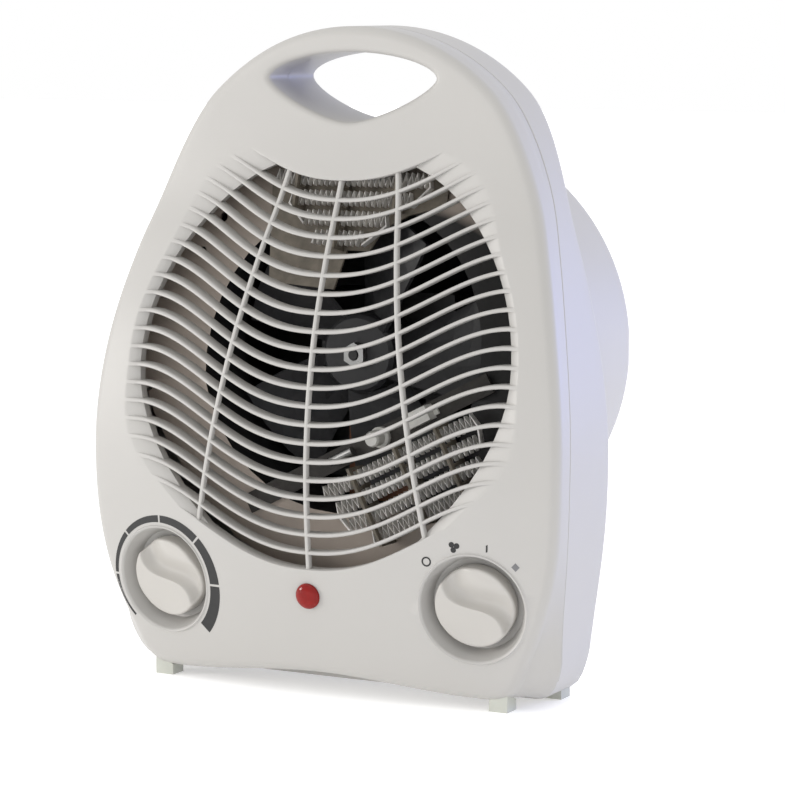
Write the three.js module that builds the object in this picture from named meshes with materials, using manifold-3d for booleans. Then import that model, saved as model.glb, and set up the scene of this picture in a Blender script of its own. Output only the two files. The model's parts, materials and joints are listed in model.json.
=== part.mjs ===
// Upright fan convector heater, in millimetres.
// +Z is up and the heater faces -Y, so +X is to the right of a person looking at its front.
// The origin is on the floor, under the middle of the heater's box.
import * as THREE from "three";
import { mergeVertices } from "three/addons/utils/BufferGeometryUtils.js";
import Module from "manifold-3d";

const wasm = await Module();
wasm.setup();

// ---------------------------------------------------------------- driving dimensions
const HEIGHT = 263.5; // top of the carrying handle above the floor
const WIDTH = 210; // widest place, a little below half height
const WALL = 2.4; // moulded covers
const SEAM_GAP = 0.8; // shadow line between the covers
const GAP = 0.35; // between pieces that touch on the real heater

const FRONT_Y = -61; // the most forward place of the face, if it ran on across the grille
const BACK_Y = 60.3; // back of the fan drum, as far from the middle as the front of the lamp
const WAIST_Z = 97.5; // height of the widest place
const MIDDLE_Z = 130; // the covers' rings run round this point

const FACE_BOW = 0.0009; // the face falls back by this times x squared
const EDGE_ROUND = 4; // rounding from the face into the side wall
const SEAM_SETBACK = 16; // parting line behind the edge of the face
const BODY_BACK_Y = 0; // flat back of the housing, beside the drum
const HANDLE_BACK_Y = 15; // back of the carrying handle, which leans back
const SIDE_STEP = 0.1; // how far the rear cover steps out to its fuller outline at the seam
const UNDERSIDE_TOP_Z = 11; // below this it steps out all the way, as a lip under the front cover
const FOOT_CLEARANCE = 3.5; // underside of the rear cover above the floor

const GRILLE_BLADES = 20;
const GRILLE_PITCH = 7.2;
const LOWEST_BLADE_Z = 58.7; // at the middle of the grille
const BLADE_WIDTH = 1.9;
const BLADE_DEPTH = 6;
const RIB_WIDTH = 1.8;
const LATTICE_SINK = 0.8; // fronts of the blades below the face
const WAVE_RISE = 26; // from the middle of a blade to its ends
const WAVE_REACH = 82; // the wave levels out at this distance from the middle
const WAVE_POWER = 1.17; // keeps the middle of the wave broad

const FAN_Z = 133; // height of the fan's axis
const FAN_RADIUS = 56;
const DUCT_RADIUS = 62;
const DRUM_RADIUS = 86;
const DRUM_ROOT_RADIUS = 91;

const DIAL_X = 69.7; // knobs, left and right of the middle
const DIAL_Z = 41.5;
const DISH_RADIUS = 21;
const DISH_FLOOR_RADIUS = 18.4;
const DISH_DEPTH = 9;
const KNOB_RADIUS = 16;
const KNOB_TOP = -1.5; // from the face, out of which a dial's local Z points
const KNOB_LOW_SIDE = -4.2;
const KNOB_HOLLOW = -5.7;
const SHAFT_RADIUS = 3;
const LAMP_RADIUS = 5.2;

const STATOR_FRONT_Y = 9.6;
const STATOR_BACK_Y = STATOR_FRONT_Y + 20;
const STRAP = 2; // the motor's bearing brackets
const POST_X = 25; // the motor hangs on two posts of the rear cover
const POST_RADIUS = 5;
const POST_FRONT_Y = STATOR_BACK_Y + STRAP + 0.7;

const BAFFLE_Y = -34.4; // front of the air duct's plate, where it is upright
const BAFFLE_BEND_Z = 120; // above this the plate leans back
const BAFFLE_LEAN = 0.2588;
const BAFFLE_THICK = 1.5;
const BAFFLE_FLANGE = 8; // beyond the edge of the grille opening

const RING_SEGMENTS = 44; // round the covers

// ---------------------------------------------------------------- small helpers
const v2 = (x, y) => new THREE.Vector2(x, y);
const v3 = (x, y, z) => new THREE.Vector3(x, y, z);
const radians = THREE.MathUtils.degToRad;

// A closed three.js geometry as a manifold solid, with its faces turned outwards.
function solid(geometry) {
  const bare = geometry.clone();
  bare.deleteAttribute("normal");
  bare.deleteAttribute("uv");
  const merged = mergeVertices(bare, 1e-3);
  const triVerts = new Uint32Array(merged.index.array);
  const vertProperties = new Float32Array(merged.attributes.position.array);
  const make = () => new wasm.Manifold(new wasm.Mesh({ numProp: 3, vertProperties, triVerts }));
  const made = make();
  if (made.volume() >= 0) return made;
  for (let i = 0; i < triVerts.length; i += 3) {
    [triVerts[i + 1], triVerts[i + 2]] = [triVerts[i + 2], triVerts[i + 1]];
  }
  return make();
}

// A manifold solid as a three.js geometry.
function geometryOf(shape) {
  const mesh = shape.getMesh();
  const geometry = new THREE.BufferGeometry();
  geometry.setAttribute("position", new THREE.BufferAttribute(mesh.vertProperties, 3));
  geometry.setIndex(new THREE.BufferAttribute(mesh.triVerts, 1));
  return geometry;
}

const join = (first, ...others) => others.reduce((sum, shape) => sum.add(shape), first);
const cut = (first, ...others) => others.reduce((rest, shape) => rest.subtract(shape), first);

function box(width, depth, height, x = 0, y = 0, z = 0) {
  return solid(new THREE.BoxGeometry(width, depth, height).translate(x, y, z));
}

// A turned solid about the Y axis from a profile of [radius, y] pairs.
function turned(profile, segments = 32) {
  return solid(new THREE.LatheGeometry(profile.map(([r, y]) => v2(r, y)), segments));
}

// A round bar along Y, from one depth to another.
function barY(radius, fromY, toY, x = 0, z = 0, segments = 24) {
  const length = toY - fromY;
  const bar = new THREE.CylinderGeometry(radius, radius, length, segments);
  return solid(bar.translate(x, (fromY + toY) / 2, z));
}

// A flat outline in the XZ plane given a thickness along Y.
function plateXZ(shape, fromY, toY, curveSegments = 12) {
  const options = { depth: toY - fromY, bevelEnabled: false, curveSegments };
  return new THREE.ExtrudeGeometry(shape, options).rotateX(Math.PI / 2).translate(0, toY, 0);
}

// A flat outline in the YZ plane given a thickness along X, equally to both sides.
function sheetYZ(points, halfWidth) {
  const shape = new THREE.Shape(points.map(([y, z]) => v2(y, z)));
  const bar = new THREE.ExtrudeGeometry(shape, { depth: 2 * halfWidth, bevelEnabled: false });
  const axes = new THREE.Matrix4().makeBasis(v3(0, 1, 0), v3(0, 0, 1), v3(1, 0, 0));
  return solid(bar.applyMatrix4(axes).translate(-halfWidth, 0, 0));
}

const shapeOf = (points) => new THREE.Shape(points.map(([x, z]) => v2(x, z)));

// Moves each point of a geometry to where a function puts it.
function warped(geometry, move) {
  const position = geometry.attributes.position;
  const point = v3(0, 0, 0);
  for (let i = 0; i < position.count; i += 1) {
    point.fromBufferAttribute(position, i);
    move(point);
    position.setXYZ(i, point.x, point.y, point.z);
  }
  return geometry;
}

// A smooth curve of value against height through a few stations.
function through(stations) {
  const slope = (i) => {
    const a = stations[Math.max(i - 1, 0)];
    const b = stations[Math.min(i + 1, stations.length - 1)];
    return (b[1] - a[1]) / (b[0] - a[0]);
  };
  return (z) => {
    const last = stations.length - 2;
    const i = THREE.MathUtils.clamp(stations.findIndex((s) => s[0] > z) - 1, 0, last);
    const k = z >= stations[last][0] ? last : i;
    const [z0, a] = stations[k];
    const [z1, b] = stations[k + 1];
    const t = THREE.MathUtils.clamp((z - z0) / (z1 - z0), 0, 1);
    const run = z1 - z0;
    const [t2, t3] = [t * t, t * t * t];
    return (
      (2 * t3 - 3 * t2 + 1) * a + (t3 - 2 * t2 + t) * run * slope(k) +
      (3 * t2 - 2 * t3) * b + (t3 - t2) * run * slope(k + 1)
    );
  };
}

const group = new THREE.Group();

function addPart(name, shape, colour, roughness = 0.5, metalness = 0, parent = group) {
  const geometry = shape.isBufferGeometry ? shape : geometryOf(shape);
  const material = new THREE.MeshStandardMaterial({ color: colour, roughness, metalness });
  const mesh = new THREE.Mesh(geometry, material);
  mesh.name = name;
  parent.add(mesh);
  return mesh;
}

const WHITE_PLASTIC = 0xdbd8d0;
const BLACK_PLASTIC = 0x1b1b1c;
const TAUPE_STEEL = 0x847a70;
const MICA = 0x8d8474;
const STEEL = 0x9a9a98;
const COPPER = 0xa8603a;
const CERAMIC = 0xe6e3da;
const RED_LENS = 0x8f2a24;
const GREY_RUBBER = 0xbcbfb6;
const BRASS = 0xb59a55;

// ---------------------------------------------------------------- the covers' outlines and face

// How far the middle of the face lies behind its most forward place, by height.
const faceSetback = through([
  [0, 12.5], [20, 7.4], [45, 2.9], [85, 0], [115, 1.7], [145, 7.3], [175, 17.3], [200, 28],
  [222, 35], [242, 38], [HEIGHT, 38],
]);
// The crosswise bow dies out towards the flat handle.
const faceBow = (z) => FACE_BOW * (1 - THREE.MathUtils.smoothstep(z, 185, 235));
const faceY = (x, z) => FRONT_Y + faceSetback(z) + faceBow(z) * x * x;

// One outline of the housing: its widest place, the hip where the flank turns under, the foot and
// the arch between the feet. The flank stays near the full width for longer as fullness grows.
function bodyOutline({ waist, hipX, hipZ, footX, footZ, archZ, fullness = 0.45 }) {
  const half = new THREE.CurvePath();
  const bend = (...handles) => half.add(new THREE.CubicBezierCurve(...handles));
  bend(v2(0, HEIGHT), v2(33, HEIGHT), v2(53.7, 246.3), v2(62.2, 238.2));
  bend(v2(62.2, 238.2), v2(82.5, 218.9), v2(waist, 145), v2(waist, WAIST_Z));
  const flankX = THREE.MathUtils.lerp(hipX, waist, fullness);
  bend(v2(waist, WAIST_Z), v2(waist, 62), v2(flankX, hipZ + 28), v2(hipX, hipZ));
  bend(v2(hipX, hipZ), v2(hipX - 3.5, footZ + 1.5), v2(footX + 5, footZ), v2(footX, footZ));
  bend(v2(footX, footZ), v2(footX - 25, footZ), v2(25, archZ), v2(0, archZ));
  const points = half.getSpacedPoints(RING_SEGMENTS / 2);
  const left = points.slice(1, -1).reverse().map((p) => v2(-p.x, p.y));
  return [...points, ...left];
}
// The face is narrow at the foot and the parting line full, so the flank splays out behind the
// face there. The back of the housing lies between them.
const faceOutline = bodyOutline({
  waist: WIDTH / 2, hipX: 88.5, hipZ: 18, footX: 73, footZ: 4.3, archZ: 9.2, fullness: 0.85,
});
const frontOutline = bodyOutline({
  waist: WIDTH / 2, hipX: 98.5, hipZ: 18.5, footX: 86, footZ: 4.1, archZ: 9.2,
});
const backOutline = bodyOutline({
  waist: WIDTH / 2 - 1, hipX: 96.5, hipZ: 19, footX: 85, footZ: FOOT_CLEARANCE, archZ: FOOT_CLEARANCE,
});

const seamY = (z) => faceY(DIAL_X, z) + SEAM_SETBACK;
function backY(z) {
  const share = THREE.MathUtils.smoothstep(z, 178, 246);
  return THREE.MathUtils.lerp(BODY_BACK_Y, HANDLE_BACK_Y, share);
}

// A closed body of rings. Each ring has an inset from the outline, a share of the way in to the
// middle, a lead from the parting line's outline to the face's, or a blend to the back one, and a
// depth.
function ringBody(rings) {
  const geometry = new THREE.LatheGeometry(rings.map((_, j) => v2(1, j)), RING_SEGMENTS);
  const position = geometry.attributes.position;
  for (let i = 0; i < position.count; i += 1) {
    const ring = rings[i % rings.length];
    const k = Math.floor(i / rings.length) % RING_SEGMENTS;
    const underside = frontOutline[k].y < UNDERSIDE_TOP_Z;
    const blend = (underside ? ring.undersideBlend : ring.blend) ?? ring.blend ?? 0;
    const rim = frontOutline[k].clone().lerp(faceOutline[k], ring.lead ?? 0);
    rim.lerp(backOutline[k], blend);
    const reach = rim.clone().sub(v2(0, MIDDLE_Z));
    const length = (reach.length() - (ring.inset ?? 0)) * (ring.share ?? 1);
    const at = reach.setLength(Math.max(length, 0)).add(v2(0, MIDDLE_Z));
    position.setXYZ(i, at.x, ring.depth(at.x, at.y), at.y);
  }
  return solid(geometry);
}

const FACE_SHARES = [0, 0.28, 0.52, 0.74, 0.88];
const PARTING_SHARES = [1, 0.8, 0.6, 0]; // both covers use these, so their parting faces match
const roundShares = [[EDGE_ROUND, 0], [1.6, 0.7], [0.4, 2.1], [0, EDGE_ROUND]];

// The solid front half, from the face back to a parting surface.
function frontBody(inset, shift, endShift) {
  const face = (share) => ({ share, inset, lead: 1, depth: (x, z) => faceY(x, z) + shift });
  const corner = ([extra, drop]) => ({
    inset: inset + extra, lead: 1, depth: (x, z) => faceY(x, z) + shift + drop,
  });
  const end = (share) => ({ share, inset, depth: (x, z) => seamY(z) + endShift });
  return ringBody([
    ...FACE_SHARES.map(face), ...roundShares.map(corner), ...PARTING_SHARES.map(end),
  ]);
}

// The solid back half, from the parting surface to the flat back.
function backBody(inset, shift, startShift) {
  const start = (share) => ({ share, inset, depth: (x, z) => seamY(z) + startShift });
  const step = {
    inset, blend: SIDE_STEP, undersideBlend: 1, depth: (x, z) => seamY(z) + startShift + 0.6,
  };
  const corner = ([extra, drop]) => ({
    blend: 1, inset: inset + extra, depth: (x, z) => backY(z) - shift - drop,
  });
  const back = (share) => ({ share, blend: 1, inset, depth: (x, z) => backY(z) - shift });
  return ringBody([
    ...[...PARTING_SHARES].reverse().map(start), step,
    ...[...roundShares].reverse().map(corner), ...[0.75, 0.4, 0].map(back),
  ]);
}

// ---------------------------------------------------------------- the handle opening
const HANDLE_TOP_Z = 253.3;
const HANDLE_END_X = 37.5;
const HANDLE_END_Z = 243;
const HANDLE_BOTTOM_Z = 225.8;

function handleShape(grow) {
  const shape = new THREE.Shape();
  const end = HANDLE_END_X + grow;
  const top = HANDLE_TOP_Z + grow;
  const bottom = HANDLE_BOTTOM_Z - grow;
  const [above, below] = [HANDLE_END_Z + 5.5 + grow, HANDLE_END_Z - 7];
  shape.moveTo(0, top);
  shape.bezierCurveTo(18, top, end, above, end, HANDLE_END_Z);
  shape.bezierCurveTo(end, below, 12, bottom, 0, bottom);
  shape.bezierCurveTo(-12, bottom, -end, below, -end, HANDLE_END_Z);
  shape.bezierCurveTo(-end, above, -18, top, 0, top);
  return shape;
}
const handlePrism = (grow) => solid(plateXZ(handleShape(grow), FRONT_Y, BACK_Y, 8));

// ---------------------------------------------------------------- the grille
const wave = (x) => {
  const t = Math.min(Math.abs(x) / WAVE_REACH, 1);
  return (WAVE_RISE * (1 - Math.cos(Math.PI * t ** WAVE_POWER))) / 2;
};

// Grille opening: the top and bottom edges follow the blades, and the sides bulge like an egg.
const OPENING_TOP_Z = 203;
const OPENING_BOTTOM_Z = 52.3;
const OPENING_SIDE_X = 83;
const OPENING_SIDE_Z = 131;
const OPENING_TOP_X = 31;
const OPENING_BOTTOM_X = 47;

function openingShape(grow) {
  const side = OPENING_SIDE_X + grow;
  const topEnd = v2(OPENING_TOP_X, OPENING_TOP_Z + wave(OPENING_TOP_X) + grow);
  const bottomEnd = v2(OPENING_BOTTOM_X, OPENING_BOTTOM_Z + wave(OPENING_BOTTOM_X) - grow);
  const widest = v2(side, OPENING_SIDE_Z);
  const shoulder = v2(54 + grow, 201 + grow);
  const upper = new THREE.CubicBezierCurve(topEnd, shoulder, v2(side, 170), widest);
  const lower = new THREE.CubicBezierCurve(widest, v2(side, 106), v2(66 + grow, 84), bottomEnd);
  const edge = (x, z0) => v2(x, z0 + wave(x));
  const bottom = [0, 12, 24, 36].map((x) => edge(x, OPENING_BOTTOM_Z - grow));
  const top = [20, 10].map((x) => edge(x, OPENING_TOP_Z + grow));
  const flank = [...lower.getPoints(6).reverse(), ...upper.getPoints(7).reverse().slice(1)];
  const right = [...bottom, ...flank, ...top];
  const left = right.slice(1).reverse().map((p) => v2(-p.x, p.y));
  return new THREE.Shape([...right, edge(0, OPENING_TOP_Z + grow), ...left]);
}

// The ribs lean in towards the top. This is how far a side rib stands from the middle.
const ribX = (z) => THREE.MathUtils.mapLinear(z, OPENING_BOTTOM_Z, OPENING_TOP_Z, 51, 25);

// Where a wavy edge that starts at height z crosses the side of a rib.
function crossing(side, offset, z) {
  let x = 0;
  for (let i = 0; i < 4; i += 1) x = side * ribX(z + wave(x)) + offset;
  return x;
}

// One gap between two blades and two ribs, as a prism. A side of 0 is the middle rib.
function grilleCell(lowZ, highZ, [fromSide, toSide]) {
  const edge = (z) => {
    const bar = RIB_WIDTH / 2;
    const end = OPENING_SIDE_X + 5;
    const from = fromSide === "edge" ? -end : crossing(fromSide, bar, z);
    const to = toSide === "edge" ? end : crossing(toSide, -bar, z);
    const steps = 3;
    return Array.from({ length: steps + 1 }, (_, i) => {
      const x = THREE.MathUtils.lerp(from, to, i / steps);
      return [x, z + wave(x)];
    });
  };
  return solid(plateXZ(shapeOf([...edge(lowZ), ...edge(highZ).reverse()]), -1, BLADE_DEPTH + 1));
}

// The blades and ribs as one lattice, made flat and then bent to follow the face.
function grilleLattice() {
  const columns = [["edge", -1], [-1, 0], [0, 1], [1, "edge"]];
  const half = BLADE_WIDTH / 2;
  const cells = Array.from({ length: GRILLE_BLADES + 1 }, (_, row) => {
    const z = LOWEST_BLADE_Z + (row - 1) * GRILLE_PITCH;
    return columns.map((column) => grilleCell(z + half, z + GRILLE_PITCH - half, column));
  }).flat();
  const inside = solid(plateXZ(openingShape(0), -1, BLADE_DEPTH + 1));
  const blank = solid(plateXZ(openingShape(1.2), 0, BLADE_DEPTH));
  const flat = cut(blank, join(...cells).intersect(inside));
  return solid(warped(geometryOf(flat), (p) => {
    p.y += faceY(p.x, p.z) + LATTICE_SINK;
  }));
}

// ---------------------------------------------------------------- the two dials
// Each dial stands square to the face at its own place. Its local Z points out of the face.
function dialFrame(x, z) {
  const step = 2;
  const slopeX = (faceY(x + step, z) - faceY(x - step, z)) / (2 * step);
  const slopeZ = (faceY(x, z + step) - faceY(x, z - step)) / (2 * step);
  const out = v3(slopeX, -1, slopeZ).normalize();
  const up = v3(0, 0, 1).addScaledVector(out, -out.z).normalize();
  const right = v3(0, 0, 0).crossVectors(up, out);
  return new THREE.Matrix4().makeBasis(right, up, out).setPosition(x, faceY(x, z), z);
}

// A turned solid about local Z, from [radius, z] pairs.
function turnedZ(profile, segments = 28) {
  const geometry = new THREE.LatheGeometry(profile.map(([r, z]) => v2(r, z)), segments);
  return solid(geometry.rotateX(Math.PI / 2));
}

const placed = (shape, matrix) => solid(geometryOf(shape).applyMatrix4(matrix));

const DISH_BOTTOM = -DISH_DEPTH;
const SCREW_RING = 11.5; // the two screws of a switch or thermostat, under its knob
const screwSpots = [[SCREW_RING, 0], [-SCREW_RING, 0]];
const pin = (radius, fromZ, toZ, x = 0, y = 0, segments = 16) => {
  const bar = new THREE.CylinderGeometry(radius, radius, toZ - fromZ, segments);
  return solid(bar.rotateX(Math.PI / 2).translate(x, y, (fromZ + toZ) / 2));
};

const dishOuter = turnedZ([
  [0, DISH_BOTTOM - WALL], [DISH_FLOOR_RADIUS + WALL, DISH_BOTTOM - WALL],
  [DISH_RADIUS + WALL, -1], [0, -1],
]);
const dishInner = turnedZ([
  [0, DISH_BOTTOM], [DISH_FLOOR_RADIUS, DISH_BOTTOM], [DISH_RADIUS, 0],
  [DISH_RADIUS + 1.2, 4], [0, 4],
]);
const dishHoles = [
  pin(SHAFT_RADIUS + 1, DISH_BOTTOM - WALL - 1, DISH_BOTTOM + 1),
  ...screwSpots.map(([x, y]) => pin(1.9, DISH_BOTTOM - WALL - 1, DISH_BOTTOM + 1, x, y, 12)),
];

// The grip's edge runs across the knob in an S, and one side of it is lower.
function knobLowSide() {
  const shape = new THREE.Shape();
  const r = KNOB_RADIUS + 2;
  const bulge = 9;
  shape.moveTo(-r, 0);
  shape.bezierCurveTo(-r / 2, -bulge, -r / 5, -bulge / 2, 0, 0);
  shape.bezierCurveTo(r / 5, bulge / 2, r / 2, bulge, r, 0);
  shape.absarc(0, 0, r, 0, Math.PI, false);
  const slab = new THREE.ExtrudeGeometry(shape, { depth: 8, bevelEnabled: false, curveSegments: 8 });
  return solid(slab.rotateZ(radians(-48)).translate(0, 0, KNOB_LOW_SIDE));
}

function knob() {
  const skirtZ = DISH_BOTTOM + 0.8;
  const inner = KNOB_RADIUS - 1.8;
  const outside = turnedZ([
    [0, skirtZ], [KNOB_RADIUS, skirtZ], [KNOB_RADIUS, KNOB_TOP - 1.4], [KNOB_RADIUS - 1.4, KNOB_TOP],
    [0, KNOB_TOP],
  ]);
  const hollow = turnedZ([
    [4.8, DISH_BOTTOM], [inner, DISH_BOTTOM], [inner, KNOB_HOLLOW], [4.8, KNOB_HOLLOW],
    [4.8, DISH_BOTTOM],
  ]);
  const bore = pin(SHAFT_RADIUS + GAP, DISH_BOTTOM, KNOB_HOLLOW);
  return cut(outside, knobLowSide(), hollow, bore);
}

const dialShaft = () => pin(SHAFT_RADIUS, DISH_BOTTOM - WALL - 7, KNOB_HOLLOW - 0.4);

// A small screw along local Z. Its head sits on the floor of a dish.
function smallScrew(headZ, length) {
  const tipZ = headZ - length;
  return turnedZ([
    [0, tipZ], [1.4, tipZ], [1.4, headZ], [2.6, headZ], [2.2, headZ + 1.6], [0, headZ + 1.6],
  ], 12);
}

const BODY_TOP = DISH_BOTTOM - WALL - GAP; // switch and thermostat bodies hang behind the dish

function withScrewHoles(shape) {
  const holes = screwSpots.map(([x, y]) => pin(1.4 + GAP, BODY_TOP - 9, BODY_TOP + 1, x, y, 12));
  const shaftRoom = pin(SHAFT_RADIUS + GAP, BODY_TOP - 7.5, BODY_TOP + 1);
  return cut(shape, ...holes, shaftRoom);
}

const localBox = (width, height, fromZ, toZ, x = 0, y = 0) =>
  solid(new THREE.BoxGeometry(width, height, toZ - fromZ).translate(x, y, (fromZ + toZ) / 2));

function thermostatBody() {
  const plate = localBox(30, 12, BODY_TOP - 2, BODY_TOP);
  const stack = localBox(16, 20, BODY_TOP - 14, BODY_TOP - 2);
  const blade = localBox(6, 16, BODY_TOP - 12, BODY_TOP - 11, 0, 17);
  return withScrewHoles(join(plate, stack, blade));
}

function selectorBody() {
  const plate = localBox(30, 12, BODY_TOP - 2, BODY_TOP);
  const drum = pin(10, BODY_TOP - 16, BODY_TOP - 2, 0, 0, 24);
  const tabs = [-6, -2, 2, 6].map((x) => localBox(2, 0.8, BODY_TOP - 22, BODY_TOP - 15, x, -4));
  return withScrewHoles(join(plate, drum, ...tabs));
}

function addDial(side, prefix, body, bodyColour) {
  const frame = dialFrame(side * DIAL_X, DIAL_Z);
  const dial = new THREE.Group();
  dial.applyMatrix4(frame);
  group.add(dial);
  addPart(`${prefix}_knob`, knob(), WHITE_PLASTIC, 0.42, 0, dial);
  addPart(`${prefix}_shaft`, dialShaft(), STEEL, 0.35, 0.9, dial);
  addPart(`${prefix}_body`, body, bodyColour, 0.5, 0, dial);
  screwSpots.forEach(([x, y], i) => {
    const screw = smallScrew(DISH_BOTTOM + GAP, 10);
    addPart(`${prefix}_screw_${i + 1}`, screw.translate([x, y, 0]), STEEL, 0.35, 0.9, dial);
  });
  return frame;
}

const thermostatFrame = addDial(-1, "thermostat", thermostatBody(), STEEL);
const selectorFrame = addDial(1, "selector", selectorBody(), BLACK_PLASTIC);

// ---------------------------------------------------------------- indicator lamp
const lampFrame = dialFrame(0, DIAL_Z);
const LAMP_STEM = 3.8;
const lampLens = turnedZ([
  [1.9, -8], [LAMP_STEM, -8], [LAMP_STEM, GAP], [LAMP_RADIUS, GAP], [4.7, 1.2], [3.4, 2],
  [1.8, 2.4], [0, 2.6], [0, -2], [1.9, -2], [1.9, -8],
], 24);
const lampBulb = turnedZ([[0, -14], [1.5, -14], [1.5, -3.6], [0.9, -2.6], [0, -2.4]], 16);
const lamp = new THREE.Group();
lamp.applyMatrix4(lampFrame);
group.add(lamp);
addPart("indicator_lens", lampLens, RED_LENS, 0.2, 0, lamp);
addPart("indicator_bulb", lampBulb, 0xe8a070, 0.2, 0, lamp);

// ---------------------------------------------------------------- cover screws and their bosses
const BOSS_RADIUS = 4;
const BOSS_GAP = 1; // each boss stops short of the seam
const coverScrews = [
  { x: 52, z: 226 }, { x: -52, z: 226 },
  { x: 90, z: 58 }, { x: -90, z: 58 },
  { x: 36, z: 24 }, { x: -36, z: 24 },
].map((spot) => ({ ...spot, seam: seamY(spot.z), back: backY(spot.z) }));

// ---------------------------------------------------------------- front cover
const baffleY = (z) => BAFFLE_Y + BAFFLE_LEAN * Math.max(z - BAFFLE_BEND_Z, 0);
const ductScrews = [{ x: 88, z: 117 }, { x: -88, z: 117 }];

function frontCover() {
  const shell = cut(frontBody(0, 0, -SEAM_GAP / 2), cut(frontBody(WALL, WALL, 3), handlePrism(WALL)));
  const bosses = coverScrews.map(({ x, z, seam }) => {
    const post = barY(BOSS_RADIUS, faceY(x, z) + 1, seam - BOSS_GAP, x, z, 10);
    return cut(post, barY(1.3, faceY(x, z) + 4, seam + 1, x, z, 8));
  });
  const ductPosts = ductScrews.map(({ x, z }) => {
    const post = barY(3.4, faceY(x, z) + 1, BAFFLE_Y - GAP, x, z, 10);
    return cut(post, barY(1.5, faceY(x, z) + 5, BAFFLE_Y + 1, x, z, 8));
  });
  const dishes = [thermostatFrame, selectorFrame];
  const cups = dishes.map((frame) => placed(dishOuter, frame));
  const whole = join(shell, ...bosses, ...ductPosts, ...cups);
  const openings = [
    handlePrism(0),
    solid(plateXZ(openingShape(0), FRONT_Y - 1, 0)),
    ...dishes.flatMap((frame) => [dishInner, ...dishHoles].map((shape) => placed(shape, frame))),
    placed(pin(LAMP_STEM + GAP, -WALL - 2, 2, 0, 0, 24), lampFrame),
  ];
  return join(cut(whole, ...openings), grilleLattice());
}
addPart("front_cover", frontCover(), WHITE_PLASTIC, 0.45);

// ---------------------------------------------------------------- rear cover with the fan drum
const DRUM_ROOT_Y = -6; // inside the housing, so the drum grows out of its back
const drumProfile = (inset, backInset) => [
  [0, DRUM_ROOT_Y], [DRUM_ROOT_RADIUS - inset, DRUM_ROOT_Y], [DRUM_ROOT_RADIUS - 1.5 - inset, 20],
  [DRUM_RADIUS + 0.5 - inset, BACK_Y - 6 - backInset], [DRUM_RADIUS - 1.5 - inset, BACK_Y - 2 - backInset],
  [DRUM_RADIUS - 5 - inset, BACK_Y - backInset], [0, BACK_Y - backInset],
];
const drum = (inset, backInset) => turned(drumProfile(inset, backInset), 40).translate([0, 0, FAN_Z]);

const SLOT_WIDTH = 3.6;
const SLOT_RADII = [29, 38, 47, 56, 65];

function intakeSlots() {
  const [from, to] = [BACK_Y - 5, BACK_Y + 1];
  const outer = (r) => r + SLOT_WIDTH;
  const ring = (r) => turned([[r, from], [outer(r), from], [outer(r), to], [r, to], [r, from]], 24);
  const spokes = [0, 60, 120].map((angle) => {
    const bar = new THREE.BoxGeometry(170, 8, angle === 0 ? 13 : 8);
    return solid(bar.rotateY(radians(angle)).translate(0, BACK_Y - 2, 0));
  });
  return cut(join(...SLOT_RADII.map(ring)), ...spokes).translate([0, 0, FAN_Z]);
}

const INLET = { x: 62, z: 26, radius: 6 }; // mains cord inlet, low on the back

function rearCover() {
  const outside = join(backBody(0, 0, SEAM_GAP / 2), drum(0, 0));
  const hollow = join(backBody(WALL, WALL, -3), drum(WALL, WALL));
  const shell = cut(outside, cut(hollow, handlePrism(WALL)));
  const bosses = coverScrews.map(({ x, z, seam, back }) =>
    barY(BOSS_RADIUS + 1.6, seam + BOSS_GAP, back - 1, x, z, 10));
  const screwHoles = coverScrews.flatMap(({ x, z, seam, back }) => [
    barY(2, seam - 3, back + 3, x, z, 8),
    barY(3.8, seam + 6, back + 3, x, z, 10),
  ]);
  const bar = (radius, from, to, x) => barY(radius, from, to, x, FAN_Z, 14);
  const posts = [POST_X, -POST_X].map((x) => bar(POST_RADIUS, POST_FRONT_Y, BACK_Y - 1, x));
  const postHoles = [POST_X, -POST_X].map((x) => bar(1.95, POST_FRONT_Y - 1, BACK_Y - 6, x));
  const inlet = barY(INLET.radius + GAP, BODY_BACK_Y - 6, BODY_BACK_Y + 4, INLET.x, INLET.z);
  const whole = join(shell, ...bosses, ...posts);
  return cut(whole, handlePrism(0), intakeSlots(), ...screwHoles, ...postHoles, inlet);
}
addPart("rear_cover", rearCover(), WHITE_PLASTIC, 0.5);

coverScrews.forEach(({ x, z, seam }, i) => {
  const [tip, brim] = [seam - 9, seam + 6 + GAP];
  const screw = turned([
    [0, tip], [1.1, tip], [1.1, brim], [3, brim], [3, brim + 1.3], [2.4, brim + 1.9], [0, brim + 1.9],
  ], 12);
  addPart(`cover_screw_${i + 1}`, screw.translate([x, 0, z]), STEEL, 0.35, 0.9);
});

// ---------------------------------------------------------------- cord inlet bushing
const collarY = BODY_BACK_Y + GAP;
const bushing = turned([
  [3.6, -7], [INLET.radius, -7], [INLET.radius, collarY], [8.4, collarY],
  [8, collarY + 2], [5.6, collarY + 3.6], [3.6, collarY + 3.6], [3.6, -7],
], 24);
addPart("cord_bushing", bushing.translate([INLET.x, 0, INLET.z]), BLACK_PLASTIC, 0.6);

// ---------------------------------------------------------------- feet
const FOOT_WIDTH = 8;

// A rubber block on the floor whose top follows the underside of the cover over it.
function addFoot(name, x, y, cover) {
  const block = box(FOOT_WIDTH, FOOT_WIDTH, 10, x, y, 5);
  const trimmed = cut(block, cover).decompose();
  const lowest = trimmed.reduce((a, b) => (a.boundingBox().min[2] <= b.boundingBox().min[2] ? a : b));
  addPart(name, lowest, GREY_RUBBER, 0.85);
}
const frontUnderside = frontBody(-GAP, -GAP, GAP);
const rearUnderside = backBody(-GAP, -GAP, -GAP);
addFoot("foot_front_left", -76, -39, frontUnderside);
addFoot("foot_front_right", 76, -39, frontUnderside);
addFoot("foot_rear_left", -84, -7, rearUnderside);
addFoot("foot_rear_right", 84, -7, rearUnderside);

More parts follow.
